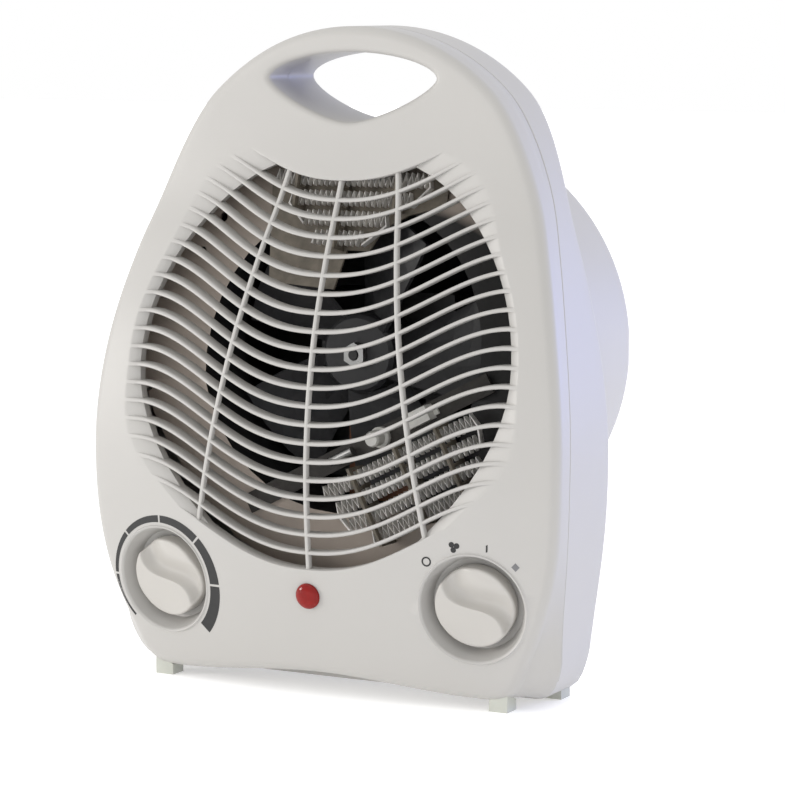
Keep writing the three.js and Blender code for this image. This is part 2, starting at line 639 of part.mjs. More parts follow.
// ---------------------------------------------------------------- air duct
const DUCT_BACK_Y = -1;
const DUCT_SEGMENTS = 36;

// The bent sheet of the plate, made thick enough to cut with when it reaches far forward.
function bentSheet(frontShift, backShift) {
  const [lowZ, highZ] = [0, 240];
  const bend = BAFFLE_BEND_Z;
  return sheetYZ([
    [baffleY(lowZ) + frontShift, lowZ], [baffleY(lowZ) + backShift, lowZ],
    [baffleY(bend) + backShift, bend], [baffleY(highZ) + backShift, highZ],
    [baffleY(highZ) + frontShift, highZ], [baffleY(bend) + frontShift, bend],
  ], 110);
}

function airDuct() {
  const outline = solid(plateXZ(openingShape(BAFFLE_FLANGE), FRONT_Y, BACK_Y));
  const plate = bentSheet(0, BAFFLE_THICK).intersect(outline);
  const ring = (radius, from, to) => barY(radius, from, to, 0, FAN_Z, DUCT_SEGMENTS);
  const tube = ring(DUCT_RADIUS + 1.6, BAFFLE_Y, DUCT_BACK_Y).subtract(bentSheet(-60, 0.5));
  const screwHoles = ductScrews.map(({ x, z }) => barY(1.9, BAFFLE_Y - 1, BAFFLE_Y + 3, x, z, 12));
  const leadHoles = [[-62, 186], [-70, 172]].map(([x, z]) => barY(2, FRONT_Y, BACK_Y, x, z, 12));
  const bore = ring(DUCT_RADIUS, FRONT_Y, BACK_Y);
  return cut(join(plate, tube), bore, ...screwHoles, ...leadHoles);
}
addPart("air_duct", airDuct(), TAUPE_STEEL, 0.55, 0.6);

ductScrews.forEach(({ x, z }, i) => {
  const brim = BAFFLE_Y + BAFFLE_THICK + GAP;
  const screw = turned([
    [0, brim - 9], [1.1, brim - 9], [1.1, brim], [3, brim], [2.6, brim + 1.8], [0, brim + 1.8],
  ], 12);
  addPart(`duct_screw_${i + 1}`, screw.translate([x, 0, z]), STEEL, 0.35, 0.9);
});

// ---------------------------------------------------------------- fan, motor shaft and rotor
const FAN_FRONT_Y = -17.4;
const FAN_BACK_Y = -1.6;
const HUB_RADIUS = 16;
const AXLE_RADIUS = 2;
const BLADE_COUNT = 5;

// One fan blade, twisted from a steep root to a flatter tip.
function fanBlade() {
  const [rootX, tipX] = [11, FAN_RADIUS];
  const sheet = new THREE.BoxGeometry(1, 1, 1, 5, 1, 3);
  const middleY = (FAN_FRONT_Y + FAN_BACK_Y) / 2;
  return solid(warped(sheet, (p) => {
    const along = p.x + 0.5;
    const pitch = radians(THREE.MathUtils.lerp(40, 19, along));
    const chord = THREE.MathUtils.lerp(22, 44, along) * p.z;
    const camber = 2 * (0.25 - p.z * p.z);
    const rise = p.y * 1.5 + camber;
    const sweep = 5 * along * along;
    p.x = THREE.MathUtils.lerp(rootX, tipX - 3.5 * p.z * p.z * 4 * along, along);
    p.y = middleY + chord * Math.sin(pitch) + rise * Math.cos(pitch);
    p.z = chord * Math.cos(pitch) - rise * Math.sin(pitch) + sweep;
  }));
}

function fanImpeller() {
  const hub = turned([
    [0, FAN_FRONT_Y], [HUB_RADIUS - 1.5, FAN_FRONT_Y], [HUB_RADIUS, FAN_FRONT_Y + 1.5],
    [HUB_RADIUS, FAN_BACK_Y], [0, FAN_BACK_Y],
  ], 28);
  const blades = Array.from({ length: BLADE_COUNT }, (_, i) =>
    fanBlade().rotate([0, (360 / BLADE_COUNT) * i, 0]));
  const [inner, core, floor] = [HUB_RADIUS - 1.8, 5, FAN_FRONT_Y + 2.4];
  const hollow = turned([
    [core, floor], [inner, floor], [inner, FAN_BACK_Y + 2], [core, FAN_BACK_Y + 2], [core, floor],
  ], 28);
  const bore = barY(AXLE_RADIUS + GAP, FAN_FRONT_Y - 1, FAN_BACK_Y + 1, 0, 0, 16);
  return cut(join(hub, ...blades), hollow, bore).translate([0, 0, FAN_Z]);
}
addPart("fan_impeller", fanImpeller(), 0x3a3a3c, 0.5);

const NUT_BACK_Y = FAN_FRONT_Y - GAP;
const retainer = barY(5, NUT_BACK_Y - 2.8, NUT_BACK_Y, 0, FAN_Z, 6);
const retainerBore = barY(AXLE_RADIUS + GAP, NUT_BACK_Y - 4, NUT_BACK_Y + 1, 0, FAN_Z, 16);
addPart("fan_retainer", cut(retainer, retainerBore), STEEL, 0.35, 0.9);

const AXLE_FRONT_Y = NUT_BACK_Y - 3.4;
const AXLE_BACK_Y = STATOR_BACK_Y + 12;
addPart("motor_shaft", barY(AXLE_RADIUS, AXLE_FRONT_Y, AXLE_BACK_Y, 0, FAN_Z, 16), STEEL, 0.25, 0.95);

const ROTOR_RADIUS = 13.4;
const rotorBar = barY(ROTOR_RADIUS, STATOR_FRONT_Y + 0.4, STATOR_BACK_Y - 0.4, 0, FAN_Z, 28);
const rotorBore = barY(AXLE_RADIUS + GAP, STATOR_FRONT_Y - 1, STATOR_BACK_Y + 1, 0, FAN_Z, 16);
addPart("motor_rotor", cut(rotorBar, rotorBore), STEEL, 0.45, 0.8);

// ---------------------------------------------------------------- motor frame
const STATOR_HALF_WIDTH = 30;
const STATOR_TOP_Z = FAN_Z + 23;
const STATOR_BOTTOM_Z = FAN_Z - 54;
const COIL_LEG_TOP_Z = STATOR_BOTTOM_Z + 14; // the coil sits round the lowest leg
const WINDOW_TOP_Z = FAN_Z - 20;
const WINDOW_HALF_WIDTH = 17;
const STATOR_MIDDLE_Y = (STATOR_FRONT_Y + STATOR_BACK_Y) / 2;

// A box between two corners.
function between([x0, y0, z0], [x1, y1, z1]) {
  return box(x1 - x0, y1 - y0, z1 - z0, (x0 + x1) / 2, (y0 + y1) / 2, (z0 + z1) / 2);
}

function motorStator() {
  const [front, back] = [STATOR_FRONT_Y, STATOR_BACK_Y];
  const [wide, narrow] = [STATOR_HALF_WIDTH, WINDOW_HALF_WIDTH];
  const stack = between([-wide, front, STATOR_BOTTOM_Z], [wide, back, STATOR_TOP_Z]);
  const window = between([-narrow, front - 1, COIL_LEG_TOP_Z], [narrow, back + 1, WINDOW_TOP_Z]);
  const bore = barY(ROTOR_RADIUS + 0.6, front - 1, back + 1, 0, FAN_Z, 28);
  const holes = [POST_X, -POST_X].map((x) => barY(2, front - 1, back + 1, x, FAN_Z, 12));
  return cut(stack, window, bore, ...holes);
}
addPart("motor_stator", motorStator(), STEEL, 0.5, 0.7);

function motorCoil() {
  const halfLength = WINDOW_HALF_WIDTH - 3;
  const ring = (grow, reach) => between(
    [-reach, STATOR_FRONT_Y - grow, STATOR_BOTTOM_Z - grow],
    [reach, STATOR_BACK_Y + grow, COIL_LEG_TOP_Z + grow],
  );
  return cut(ring(8, halfLength), ring(GAP, halfLength + 1));
}
addPart("motor_coil", motorCoil(), COPPER, 0.45, 0.5);

const BEARING_RADIUS = 6;
// A bearing bracket, flat against one face of the stator. Side is -1 in front and +1 behind.
function addBracket(name, bearingName, faceSide) {
  const face = faceSide < 0 ? STATOR_FRONT_Y : STATOR_BACK_Y;
  const at = (distance) => face + faceSide * distance;
  const span = (radius, from, to, x = 0, segments = 24) => {
    const [low, high] = [at(from), at(to)].sort((a, b) => a - b);
    return barY(radius, low, high, x, FAN_Z, segments);
  };
  const strapY = at(GAP + STRAP / 2);
  const strap = box(2 * STATOR_HALF_WIDTH, STRAP, 20, 0, strapY, FAN_Z);
  const boss = span(9, GAP, GAP + 7.5);
  const holes = [POST_X, -POST_X].map((x) => span(2, -1, GAP + STRAP + 1, x, 12));
  const seat = span(BEARING_RADIUS + GAP, -1, GAP + 8.5);
  addPart(name, cut(join(strap, boss), seat, ...holes), STEEL, 0.4, 0.8);
  const bearing = span(BEARING_RADIUS, GAP, GAP + 7.2);
  addPart(bearingName, cut(bearing, span(AXLE_RADIUS + GAP, -1, GAP + 8, 0, 16)), BRASS, 0.4, 0.8);
}
addBracket("motor_front_bracket", "motor_front_bearing", -1);
addBracket("motor_rear_bracket", "motor_rear_bearing", 1);

[["left", -POST_X], ["right", POST_X]].forEach(([side, x]) => {
  const seat = STATOR_FRONT_Y - GAP - STRAP - GAP;
  const tip = POST_FRONT_Y + 12;
  const screw = turned([
    [0, seat - 2.4], [2.8, seat - 2.4], [3.2, seat], [1.6, seat], [1.6, tip], [0, tip],
  ], 14);
  addPart(`motor_screw_${side}`, screw.translate([x, 0, FAN_Z]), STEEL, 0.35, 0.9);
});

// ---------------------------------------------------------------- heating element
const ROW_SPACING = 8;
const ZIG_HEIGHT = 5.4;
const ZIG_PITCH = 5;
const RIBBON_WIDTH = 3;
const RIBBON_THICK = 0.8;
const LINK_REACH = 3; // the joining ends stand this far beyond the longer row
const CARD_THICK = 1.2;

// The turning points of a wire that runs to and fro in rows, zigzag along each row.
// Each row is [from, to, height], all in the plane of the bank. Level ends join the rows.
function zigzagPath(rows) {
  const path = [];
  rows.forEach(([from, to, z], row) => {
    const count = Math.round(Math.abs(to - from) / (ZIG_PITCH / 2));
    const line = Array.from({ length: count + 1 }, (_, i) => {
      const x = THREE.MathUtils.lerp(from, to, i / count);
      const side = i % 2 === 0 ? 1 : -1;
      return v2(x, z + (side * ZIG_HEIGHT) / 2);
    });
    const forward = row % 2 === 0;
    path.push(...(forward ? line : line.reverse()));
    if (row === rows.length - 1) return;
    const next = rows[row + 1];
    const endX = forward ? Math.max(to, next[1]) + LINK_REACH : Math.min(from, next[0]) - LINK_REACH;
    path.push(v2(endX, z), v2(endX, next[2]));
  });
  return path;
}

// A path widened into a ribbon of even thickness.
function ribbon(path, thickness) {
  const edge = (side) => path.map((point, i) => {
    const before = path[Math.max(i - 1, 0)];
    const after = path[Math.min(i + 1, path.length - 1)];
    const inward = point.clone().sub(before);
    const outward = after.clone().sub(point);
    const first = (inward.length() > 0 ? inward : outward).clone().normalize();
    const second = (outward.length() > 0 ? outward : inward).clone().normalize();
    const normal = v2(-first.y - second.y, first.x + second.x).normalize();
    const spread = Math.max(normal.dot(v2(-first.y, first.x)), 0.35);
    return point.clone().addScaledVector(normal, (side * thickness) / (2 * spread));
  });
  return [...edge(1), ...edge(-1).reverse()];
}

function heatingWire(rows, frame) {
  const shape = new THREE.Shape(ribbon(zigzagPath(rows), RIBBON_THICK));
  const flat = plateXZ(shape, -RIBBON_WIDTH / 2, RIBBON_WIDTH / 2);
  return solid(flat.applyMatrix4(frame));
}

// A mica card that stands across some rows, with a window for each row to pass through.
// It stands between two turns of the wire, where the wire is at its narrowest.
function micaCard(x, heights, backDepth, frame) {
  const [low, high] = [Math.min(...heights), Math.max(...heights)];
  const reach = ZIG_HEIGHT / 2 + 2;
  const card = between([x - CARD_THICK / 2, -4.5, low - reach], [x + CARD_THICK / 2, backDepth, high + reach]);
  const windows = heights.map((z) => box(4, RIBBON_WIDTH + 1, ZIG_HEIGHT + 1.6, x, 0, z));
  return placed(cut(card, ...windows), frame);
}

const BANK_DEPTH = 8; // lower bank's middle in front of the plate
const lowerFrame = new THREE.Matrix4()
  .makeTranslation(38, BAFFLE_Y - BANK_DEPTH, 86)
  .multiply(new THREE.Matrix4().makeRotationY(radians(-27)));
const lowerRows = [[-25, 25], [-32.5, 32.5], [-35, 35], [-37.5, 37.5]].map(([from, to], i) =>
  [from, to, (i - 1.5) * ROW_SPACING]);
addPart("heating_wire_lower", heatingWire(lowerRows, lowerFrame), 0xa39f9b, 0.4, 0.8);
const lowerHeights = lowerRows.map((row) => row[2]);
[-21.25, 1.25, 21.25].forEach((x, i) => {
  const card = micaCard(x, lowerHeights, BANK_DEPTH - GAP, lowerFrame);
  addPart(`mica_card_lower_${i + 1}`, card, MICA, 0.7);
});

// The upper bank leans with the plate. Its local XZ plane lies parallel to the plate.
const UPPER_Z = 190;
const UPPER_DEPTH = 6.4;
const upperFrame = new THREE.Matrix4()
  .makeTranslation(0, baffleY(UPPER_Z), UPPER_Z)
  .multiply(new THREE.Matrix4().makeRotationX(-Math.atan(BAFFLE_LEAN)))
  .multiply(new THREE.Matrix4().makeTranslation(0, -UPPER_DEPTH, 0));
const upperRows = [[-15, 7.5, -12], [-20, 17.5, -4], [-27.5, 27.5, 4], [-35, 35, 12]];
addPart("heating_wire_upper", heatingWire(upperRows, upperFrame), 0xa39f9b, 0.4, 0.8);
const BOARD_FRONT = UPPER_DEPTH - 1.8;
[[-23.75, [4, 12]], [-3.75, [-12, -4, 4, 12]], [21.25, [4, 12]]].forEach(([x, heights], i) => {
  const card = micaCard(x, heights, BOARD_FRONT - GAP, upperFrame);
  addPart(`mica_card_upper_${i + 1}`, card, MICA, 0.7);
});

// The upper board: a band behind the wires and a lobe that hangs down on the left.
const upperBoard = shapeOf([
  [-36, -30], [-6, -32], [-2, -16], [8, -16], [13, -7], [24, -1], [40, 3],
  [40, 12], [30, 16], [-30, 16], [-40, 12],
]);
const upperSheet = plateXZ(upperBoard, BOARD_FRONT, BOARD_FRONT + 1.2);
addPart("mica_board_upper", solid(upperSheet.applyMatrix4(upperFrame)), MICA, 0.7);

// ---------------------------------------------------------------- element bridge and its parts
// A mica strip across the duct, parallel to the lower rows, carries the small safety parts.
const BRIDGE_Z = 23; // above the middle of the lower bank
const bridgeBack = BANK_DEPTH - GAP;
const bridgeFront = bridgeBack - 1.2;
const bridge = between([-76, bridgeFront, BRIDGE_Z - 4], [46, bridgeBack, BRIDGE_Z + 4]);
addPart("mica_bridge", placed(bridge, lowerFrame), MICA, 0.7);

const onBridge = bridgeFront - GAP;
const insulator = turned([
  [0, onBridge - 9], [2.6, onBridge - 9], [3.2, onBridge - 8], [3.2, onBridge - 3],
  [4.2, onBridge - 2], [4.2, onBridge], [0, onBridge],
], 18).translate([-7, 0, BRIDGE_Z]);
addPart("ceramic_insulator", placed(insulator, lowerFrame), CERAMIC, 0.35);
const cutout = join(
  between([8, onBridge - 6, BRIDGE_Z - 3], [19, onBridge, BRIDGE_Z + 3]),
  between([6, onBridge - 1, BRIDGE_Z - 2], [21, onBridge, BRIDGE_Z + 2]),
);
addPart("thermal_cutout", placed(cutout, lowerFrame), CERAMIC, 0.4);
const fuse = new THREE.CylinderGeometry(1.8, 1.8, 11, 16).rotateZ(Math.PI / 2);
fuse.translate(-26, onBridge - 1.8, BRIDGE_Z).applyMatrix4(lowerFrame);
addPart("thermal_fuse", solid(fuse), STEEL, 0.3, 0.8);

// ---------------------------------------------------------------- terminal block
const TERMINAL_TOP_Z = 20;
function terminalBlock() {
  const room = backBody(WALL + GAP, WALL + GAP, 1);
  const block = between([-16, -22, 0], [16, -10, TERMINAL_TOP_Z]).intersect(room);
  const wells = [-11, -3.7, 3.7, 11].map((x) =>
    between([x - 2.4, -18.5, TERMINAL_TOP_Z - 5], [x + 2.4, -13.5, TERMINAL_TOP_Z + 1]));
  return cut(block, ...wells);
}
addPart("terminal_block", terminalBlock(), 0xd9d4c4, 0.5);

export default group;
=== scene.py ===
"""Looks of an upright fan heater: smooth moulded covers, louvred grille, dials and materials.

All shapes below are worked out in millimetres in the CAD frame: +Z is up, the grille faces -Y, and
the origin is on the floor under the middle of the heater. Meshes are scaled to metres when made.
"""

import json
import math

import bmesh
import bpy
import numpy as np
from mathutils import Matrix, Vector
from mathutils.bvhtree import BVHTree
from mathutils.geometry import delaunay_2d_cdt


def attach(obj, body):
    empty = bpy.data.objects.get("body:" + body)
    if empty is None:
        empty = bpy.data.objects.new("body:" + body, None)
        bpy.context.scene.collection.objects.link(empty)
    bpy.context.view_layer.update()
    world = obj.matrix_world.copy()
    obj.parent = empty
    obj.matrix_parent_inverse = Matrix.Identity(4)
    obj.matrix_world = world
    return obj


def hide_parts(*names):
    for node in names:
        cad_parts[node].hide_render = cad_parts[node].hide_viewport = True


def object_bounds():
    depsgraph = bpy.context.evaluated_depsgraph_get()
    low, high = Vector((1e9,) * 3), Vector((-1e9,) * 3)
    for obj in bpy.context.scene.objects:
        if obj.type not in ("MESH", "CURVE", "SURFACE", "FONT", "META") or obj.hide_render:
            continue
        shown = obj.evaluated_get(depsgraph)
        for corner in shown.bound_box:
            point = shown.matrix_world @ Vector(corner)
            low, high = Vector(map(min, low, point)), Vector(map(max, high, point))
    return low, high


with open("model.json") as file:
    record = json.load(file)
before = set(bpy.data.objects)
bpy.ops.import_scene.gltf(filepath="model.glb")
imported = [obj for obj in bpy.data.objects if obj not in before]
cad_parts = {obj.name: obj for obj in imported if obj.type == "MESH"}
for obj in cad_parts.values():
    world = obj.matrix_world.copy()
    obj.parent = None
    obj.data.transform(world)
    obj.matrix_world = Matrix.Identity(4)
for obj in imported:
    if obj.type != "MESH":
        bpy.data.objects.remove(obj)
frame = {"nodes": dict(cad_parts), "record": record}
CAD_LOW, CAD_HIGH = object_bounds()
MM = 0.001
HOUSING = "housing"

# ------------------------------------------------------------------ driving dimensions, millimetres
HEIGHT = CAD_HIGH.z / MM
HALF_WIDTH = CAD_HIGH.x / MM
BACK_Y = CAD_HIGH.y / MM
FRONT_Y = -61.0
WALL = 2.4
WAIST_Z = 97.5
EDGE_ROUND = 4.0
SEAM_SETBACK = 16.0
SEAM_LINE = 0.18
BODY_BACK_Y = 0.0
HANDLE_BACK_Y = 15.0
FOOT_CLEARANCE = 3.5
FACE_BOW = 0.0009

FAN_Z = 133.0
DRUM_RADIUS = 86.0
DRUM_ROOT_RADIUS = 91.0
BORE_RADIUS = 62.0
SLOT_RADII = (29, 38, 47, 56, 65)
SLOT_WIDTH = 3.6

BLADES = 20
PITCH = 7.2
LOWEST_BLADE_Z = 58.7
BLADE_HALF = 0.85
BLADE_DEPTH = 6.8
LATTICE_SINK = 0.8
RIB_HALF = 0.85
RIB_DEPTH = 3.0
OPENING_TOP_Z = 203.0
OPENING_BOTTOM_Z = 52.3

DIAL_X = 69.7
DIAL_Z = 41.5
DISH_RADIUS = 21.0
DISH_FLOOR_RADIUS = 18.4
DISH_DEPTH = 9.0
KNOB_RADIUS = 16.0
KNOB_TOP = -1.5
LAMP_RADIUS = 5.2


# ------------------------------------------------------------------ formulas shared with the CAD
def smoothstep(value, low, high):
    t = np.clip((np.asarray(value, float) - low) / (high - low), 0, 1)
    return t * t * (3 - 2 * t)


FACE_STATIONS = np.array([
    (0, 12.5), (20, 7.4), (45, 2.9), (85, 0), (115, 1.7), (145, 7.3), (175, 17.3), (200, 28),
    (222, 35), (242, 38), (263.5, 38),
], float)


def face_setback(z):
    """How far the middle of the face lies behind its most forward place: a smooth curve."""
    z = np.clip(np.asarray(z, float), 0, FACE_STATIONS[-1, 0])
    heights, values = FACE_STATIONS.T
    last = len(heights) - 1
    before = np.maximum(np.arange(last + 1) - 1, 0)
    after = np.minimum(np.arange(last + 1) + 1, last)
    slopes = (values[after] - values[before]) / (heights[after] - heights[before])
    k = np.clip(np.searchsorted(heights, z, side="right") - 1, 0, last - 1)
    run = heights[k + 1] - heights[k]
    t = (z - heights[k]) / run
    t2, t3 = t * t, t * t * t
    return (
        (2 * t3 - 3 * t2 + 1) * values[k] + (t3 - 2 * t2 + t) * run * slopes[k]
        + (3 * t2 - 2 * t3) * values[k + 1] + (t3 - t2) * run * slopes[k + 1]
    )


def face_y(x, z):
    """The face: leaning back upwards, and bowed back a little towards both sides."""
    bow = FACE_BOW * (1 - smoothstep(z, 185, 235))
    return FRONT_Y + face_setback(z) + bow * np.asarray(x, float) ** 2


def seam_y(z):
    """The parting line between the covers."""
    return face_y(DIAL_X, z) + SEAM_SETBACK


def back_y(z):
    """The back of the housing, which steps back behind the handle."""
    return BODY_BACK_Y + (HANDLE_BACK_Y - BODY_BACK_Y) * smoothstep(z, 178, 246)


WAVE_REACH = 82.0
WAVE_SWING = 13.0
WAVE_POWER = 1.17


def wave(x):
    """The rise of a grille blade above its middle."""
    t = np.minimum(np.abs(np.asarray(x, float)) / WAVE_REACH, 1)
    return WAVE_SWING * (1 - np.cos(math.pi * t ** WAVE_POWER))


def bezier(a, b, c, d, count=40):
    t = np.linspace(0, 1, count)[:, None]
    a, b, c, d = (np.array(p, float) for p in (a, b, c, d))
    return (1 - t) ** 3 * a + 3 * (1 - t) ** 2 * t * b + 3 * (1 - t) * t * t * c + t ** 3 * d


def spaced(path, count):
    """The same path with evenly spaced points."""
    path = np.asarray(path, float)
    run = np.concatenate([[0], np.cumsum(np.linalg.norm(np.diff(path, axis=0), axis=1))])
    keep = np.concatenate([[True], np.diff(run) > 1e-9])
    at = np.linspace(0, run[-1], count)
    return np.stack([np.interp(at, run[keep], path[keep, i]) for i in range(path.shape[1])], axis=1)


def mirrored(half):
    """A closed loop from its right half, which starts and ends on the middle line."""
    left = half[1:-1][::-1] * np.array([-1.0, 1.0])
    return np.concatenate([half, left])


def body_outline(waist, hip, foot, arch_z, fullness=0.45, count=110):
    """The housing's outline. Its flank stays near the full width for longer as fullness grows."""
    (hip_x, hip_z), (foot_x, foot_z) = hip, foot
    flank_x = hip_x + fullness * (waist - hip_x)
    half = np.concatenate([
        bezier((0, HEIGHT), (33, HEIGHT), (53.7, 246.3), (62.2, 238.2)),
        bezier((62.2, 238.2), (82.5, 218.9), (waist, 145), (waist, WAIST_Z)),
        bezier((waist, WAIST_Z), (waist, 62), (flank_x, hip_z + 28), hip),
        bezier(hip, (hip_x - 3.5, foot_z + 1.5), (foot_x + 5, foot_z), foot),
        bezier(foot, (foot_x - 25, foot_z), (25, arch_z), (0, arch_z)),
    ])
    return mirrored(spaced(half, count))


# The face is narrow at the foot and the parting line full, so the flank splays out behind the face
# there. The back of the housing lies between them.
FACE_OUTLINE = body_outline(HALF_WIDTH, (88.5, 18), (73, 4.3), 9.2, fullness=0.85)
FRONT_OUTLINE = body_outline(HALF_WIDTH, (98.5, 18.5), (86, 4.1), 9.2)
BACK_OUTLINE = body_outline(HALF_WIDTH - 1, (96.5, 19), (85, FOOT_CLEARANCE), FOOT_CLEARANCE)


HANDLE_END_X = 37.5
HANDLE_END_Z = 243
HANDLE_TOP_Z = 253.3
HANDLE_BOTTOM_Z = 225.8


def handle_outline(grow, count=45):
    """The opening under the handle, larger all round by grow."""
    end, top, bottom = HANDLE_END_X + grow, HANDLE_TOP_Z + grow, HANDLE_BOTTOM_Z - grow
    half = np.concatenate([
        bezier((0, top), (18, top), (end, 248.5 + grow), (end, HANDLE_END_Z)),
        bezier((end, HANDLE_END_Z), (end, 236), (12, bottom), (0, bottom)),
    ])
    return mirrored(spaced(half, count))


def normals_of(loop):
    """Unit normals of a closed flat loop, pointing out of it."""
    along = np.roll(loop, -1, axis=0) - np.roll(loop, 1, axis=0)
    out = np.stack([along[:, 1], -along[:, 0]], axis=1)
    out /= np.linalg.norm(out, axis=1)[:, None]
    area = np.sum(loop[:, 0] * np.roll(loop[:, 1], -1) - np.roll(loop[:, 0], -1) * loop[:, 1])
    return out if area > 0 else -out


def grown(loop, distance):
    return loop + normals_of(loop) * distance


def circle(radius, centre, count):
    angle = np.linspace(0, 2 * math.pi, count, endpoint=False)
    x, z = centre
    return np.stack([x + radius * np.cos(angle), z + radius * np.sin(angle)], axis=1)


# ------------------------------------------------------------------ mesh building
def new_object(name, data):
    made = bpy.data.objects.new(name, data)
    bpy.context.scene.collection.objects.link(made)
    return made


class Shell:
    """Collects points in millimetres and faces, and makes one smooth-shaded piece of them."""

    def __init__(self):
        self.points = []
        self.faces = []
        self.marks = []

    def add(self, points):
        start = len(self.points)
        self.points.extend(tuple(float(c) for c in p) for p in points)
        return list(range(start, len(self.points)))

    def face(self, corners, mark=0):
        self.faces.append(tuple(corners))
        self.marks.append(mark)

    def bridge(self, first, second, closed=True, mark=0):
        count = len(first)
        for i in range(count if closed else count - 1):
            j = (i + 1) % count
            self.face((first[i], first[j], second[j], second[i]), mark)

    def rings(self, loops, closed=True, mark=0):
        """Adds several loops of points and bridges each to the next. Returns their indices."""
        added = [self.add(loop) for loop in loops]
        for first, second in zip(added, added[1:]):
            self.bridge(first, second, closed, mark)
        return added

    def grid(self, rows, mark=0):
        return self.rings(rows, closed=False, mark=mark)

    def sheet(self, outer, holes, depth, spacing, mark=0):
        """Fills the area between flat loops with an even net on a surface y = depth(x, z)."""
        loops = [outer, *holes]
        coords, edges = [], []
        for loop in loops:
            start = len(coords)
            coords.extend(map(tuple, loop))
            edges.extend((start + i, start + (i + 1) % len(loop)) for i in range(len(loop)))
        border = np.array(coords)
        low, high = outer.min(0), outer.max(0)
        xs = np.arange(low[0], high[0], spacing)
        zs = np.arange(low[1], high[1], spacing * 0.866)  # rows of even triangles
        net = np.array([
            (x + (0.5 * spacing if row % 2 else 0), z) for row, z in enumerate(zs) for x in xs
        ])
        net = net[inside(net, outer)]
        for hole in holes:
            net = net[~inside(net, hole)]
        near = np.array([np.min(np.sum((border - p) ** 2, axis=1)) for p in net])
        net = net[near > (0.6 * spacing) ** 2]
        coords.extend(map(tuple, net))
        found = delaunay_2d_cdt([Vector(c) for c in coords], edges, [], 0, 1e-5)
        flat = np.array([tuple(v) for v in found[0]])
        triangles = np.array([t for t in found[2] if len(t) == 3])
        middle = flat[triangles].mean(axis=1)
        keep = inside(middle, outer)
        for hole in holes:
            keep &= ~inside(middle, hole)
        y = depth(flat[:, 0], flat[:, 1])
        index = self.add(np.stack([flat[:, 0], y, flat[:, 1]], axis=1))
        for a, b, c in triangles[keep]:
            self.face((index[a], index[b], index[c]), mark)

    def build(self, name, materials, slot, body=HOUSING, replaces=(), sharp=38, matrix=None):
        """Makes the piece. It rides its body, and may replace CAD nodes."""
        mesh = bpy.data.meshes.new(name)
        mesh.from_pydata([tuple(c * MM for c in p) for p in self.points], [], self.faces)
        for material in materials:
            mesh.materials.append(material)
        mesh.polygons.foreach_set("material_index", self.marks)
        made = bmesh.new()
        made.from_mesh(mesh)
        bmesh.ops.remove_doubles(made, verts=made.verts, dist=2e-6)
        bmesh.ops.dissolve_degenerate(made, dist=1e-7, edges=made.edges)
        bmesh.ops.recalc_face_normals(made, faces=made.faces)
        made.to_mesh(mesh)
        made.free()
        mesh.polygons.foreach_set("use_smooth", [True] * len(mesh.polygons))
        mesh.set_sharp_from_angle(angle=math.radians(sharp))
        if matrix is not None:
            mesh.transform(matrix)
        piece = new_object(name, mesh)
        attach(piece, body)
        if replaces:
            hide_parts(*replaces)


def inside(points, loop):
    """Which points lie inside a closed flat loop."""
    points = np.asarray(points, float)
    x, z = points[:, 0][:, None], points[:, 1][:, None]
    ax, az = loop[:, 0][None], loop[:, 1][None]
    bx, bz = np.roll(loop[:, 0], -1)[None], np.roll(loop[:, 1], -1)[None]
    spans = (az > z) != (bz > z)
    with np.errstate(divide="ignore", invalid="ignore"):
        cross = x < (bx - ax) * (z - az) / (bz - az) + ax
    return np.sum(spans & cross, axis=1) % 2 == 1


def at_depth(loop, y):
    """A flat loop at a depth: a number, or one value for each point."""
    return np.stack([loop[:, 0], np.broadcast_to(y, len(loop)), loop[:, 1]], axis=1)


def rounding(radius, steps):
    """Pairs of (sideways, drop) along a quarter circle from a face over an edge."""
    angles = np.linspace(0, math.pi / 2, steps + 1)
    return [(radius * math.sin(a), radius * (1 - math.cos(a))) for a in angles]


# ------------------------------------------------------------------ materials
GRAIN_DEPTH = 0.0002  # metres, like every length inside a material


def shader_of(material):
    """The material's main shading node."""
    return material.node_tree.nodes["Principled BSDF"]


def noise_node(tree, scale, detail):
    place = tree.nodes.new("ShaderNodeTexCoord")
    noise = tree.nodes.new("ShaderNodeTexNoise")
    noise.inputs["Scale"].default_value = scale
    noise.inputs["Detail"].default_value = detail
    noise.inputs["Roughness"].default_value = 0.55
    tree.links.new(place.outputs["Object"], noise.inputs["Vector"])
    return noise


def ramp_between(tree, factor, first, second):
    ramp = tree.nodes.new("ShaderNodeValToRGB")
    for element, position, colour in zip(ramp.color_ramp.elements, (0.3, 0.7), (first, second)):
        element.position = position
        element.color = (*colour, 1)
    tree.links.new(factor, ramp.inputs["Fac"])
    return ramp


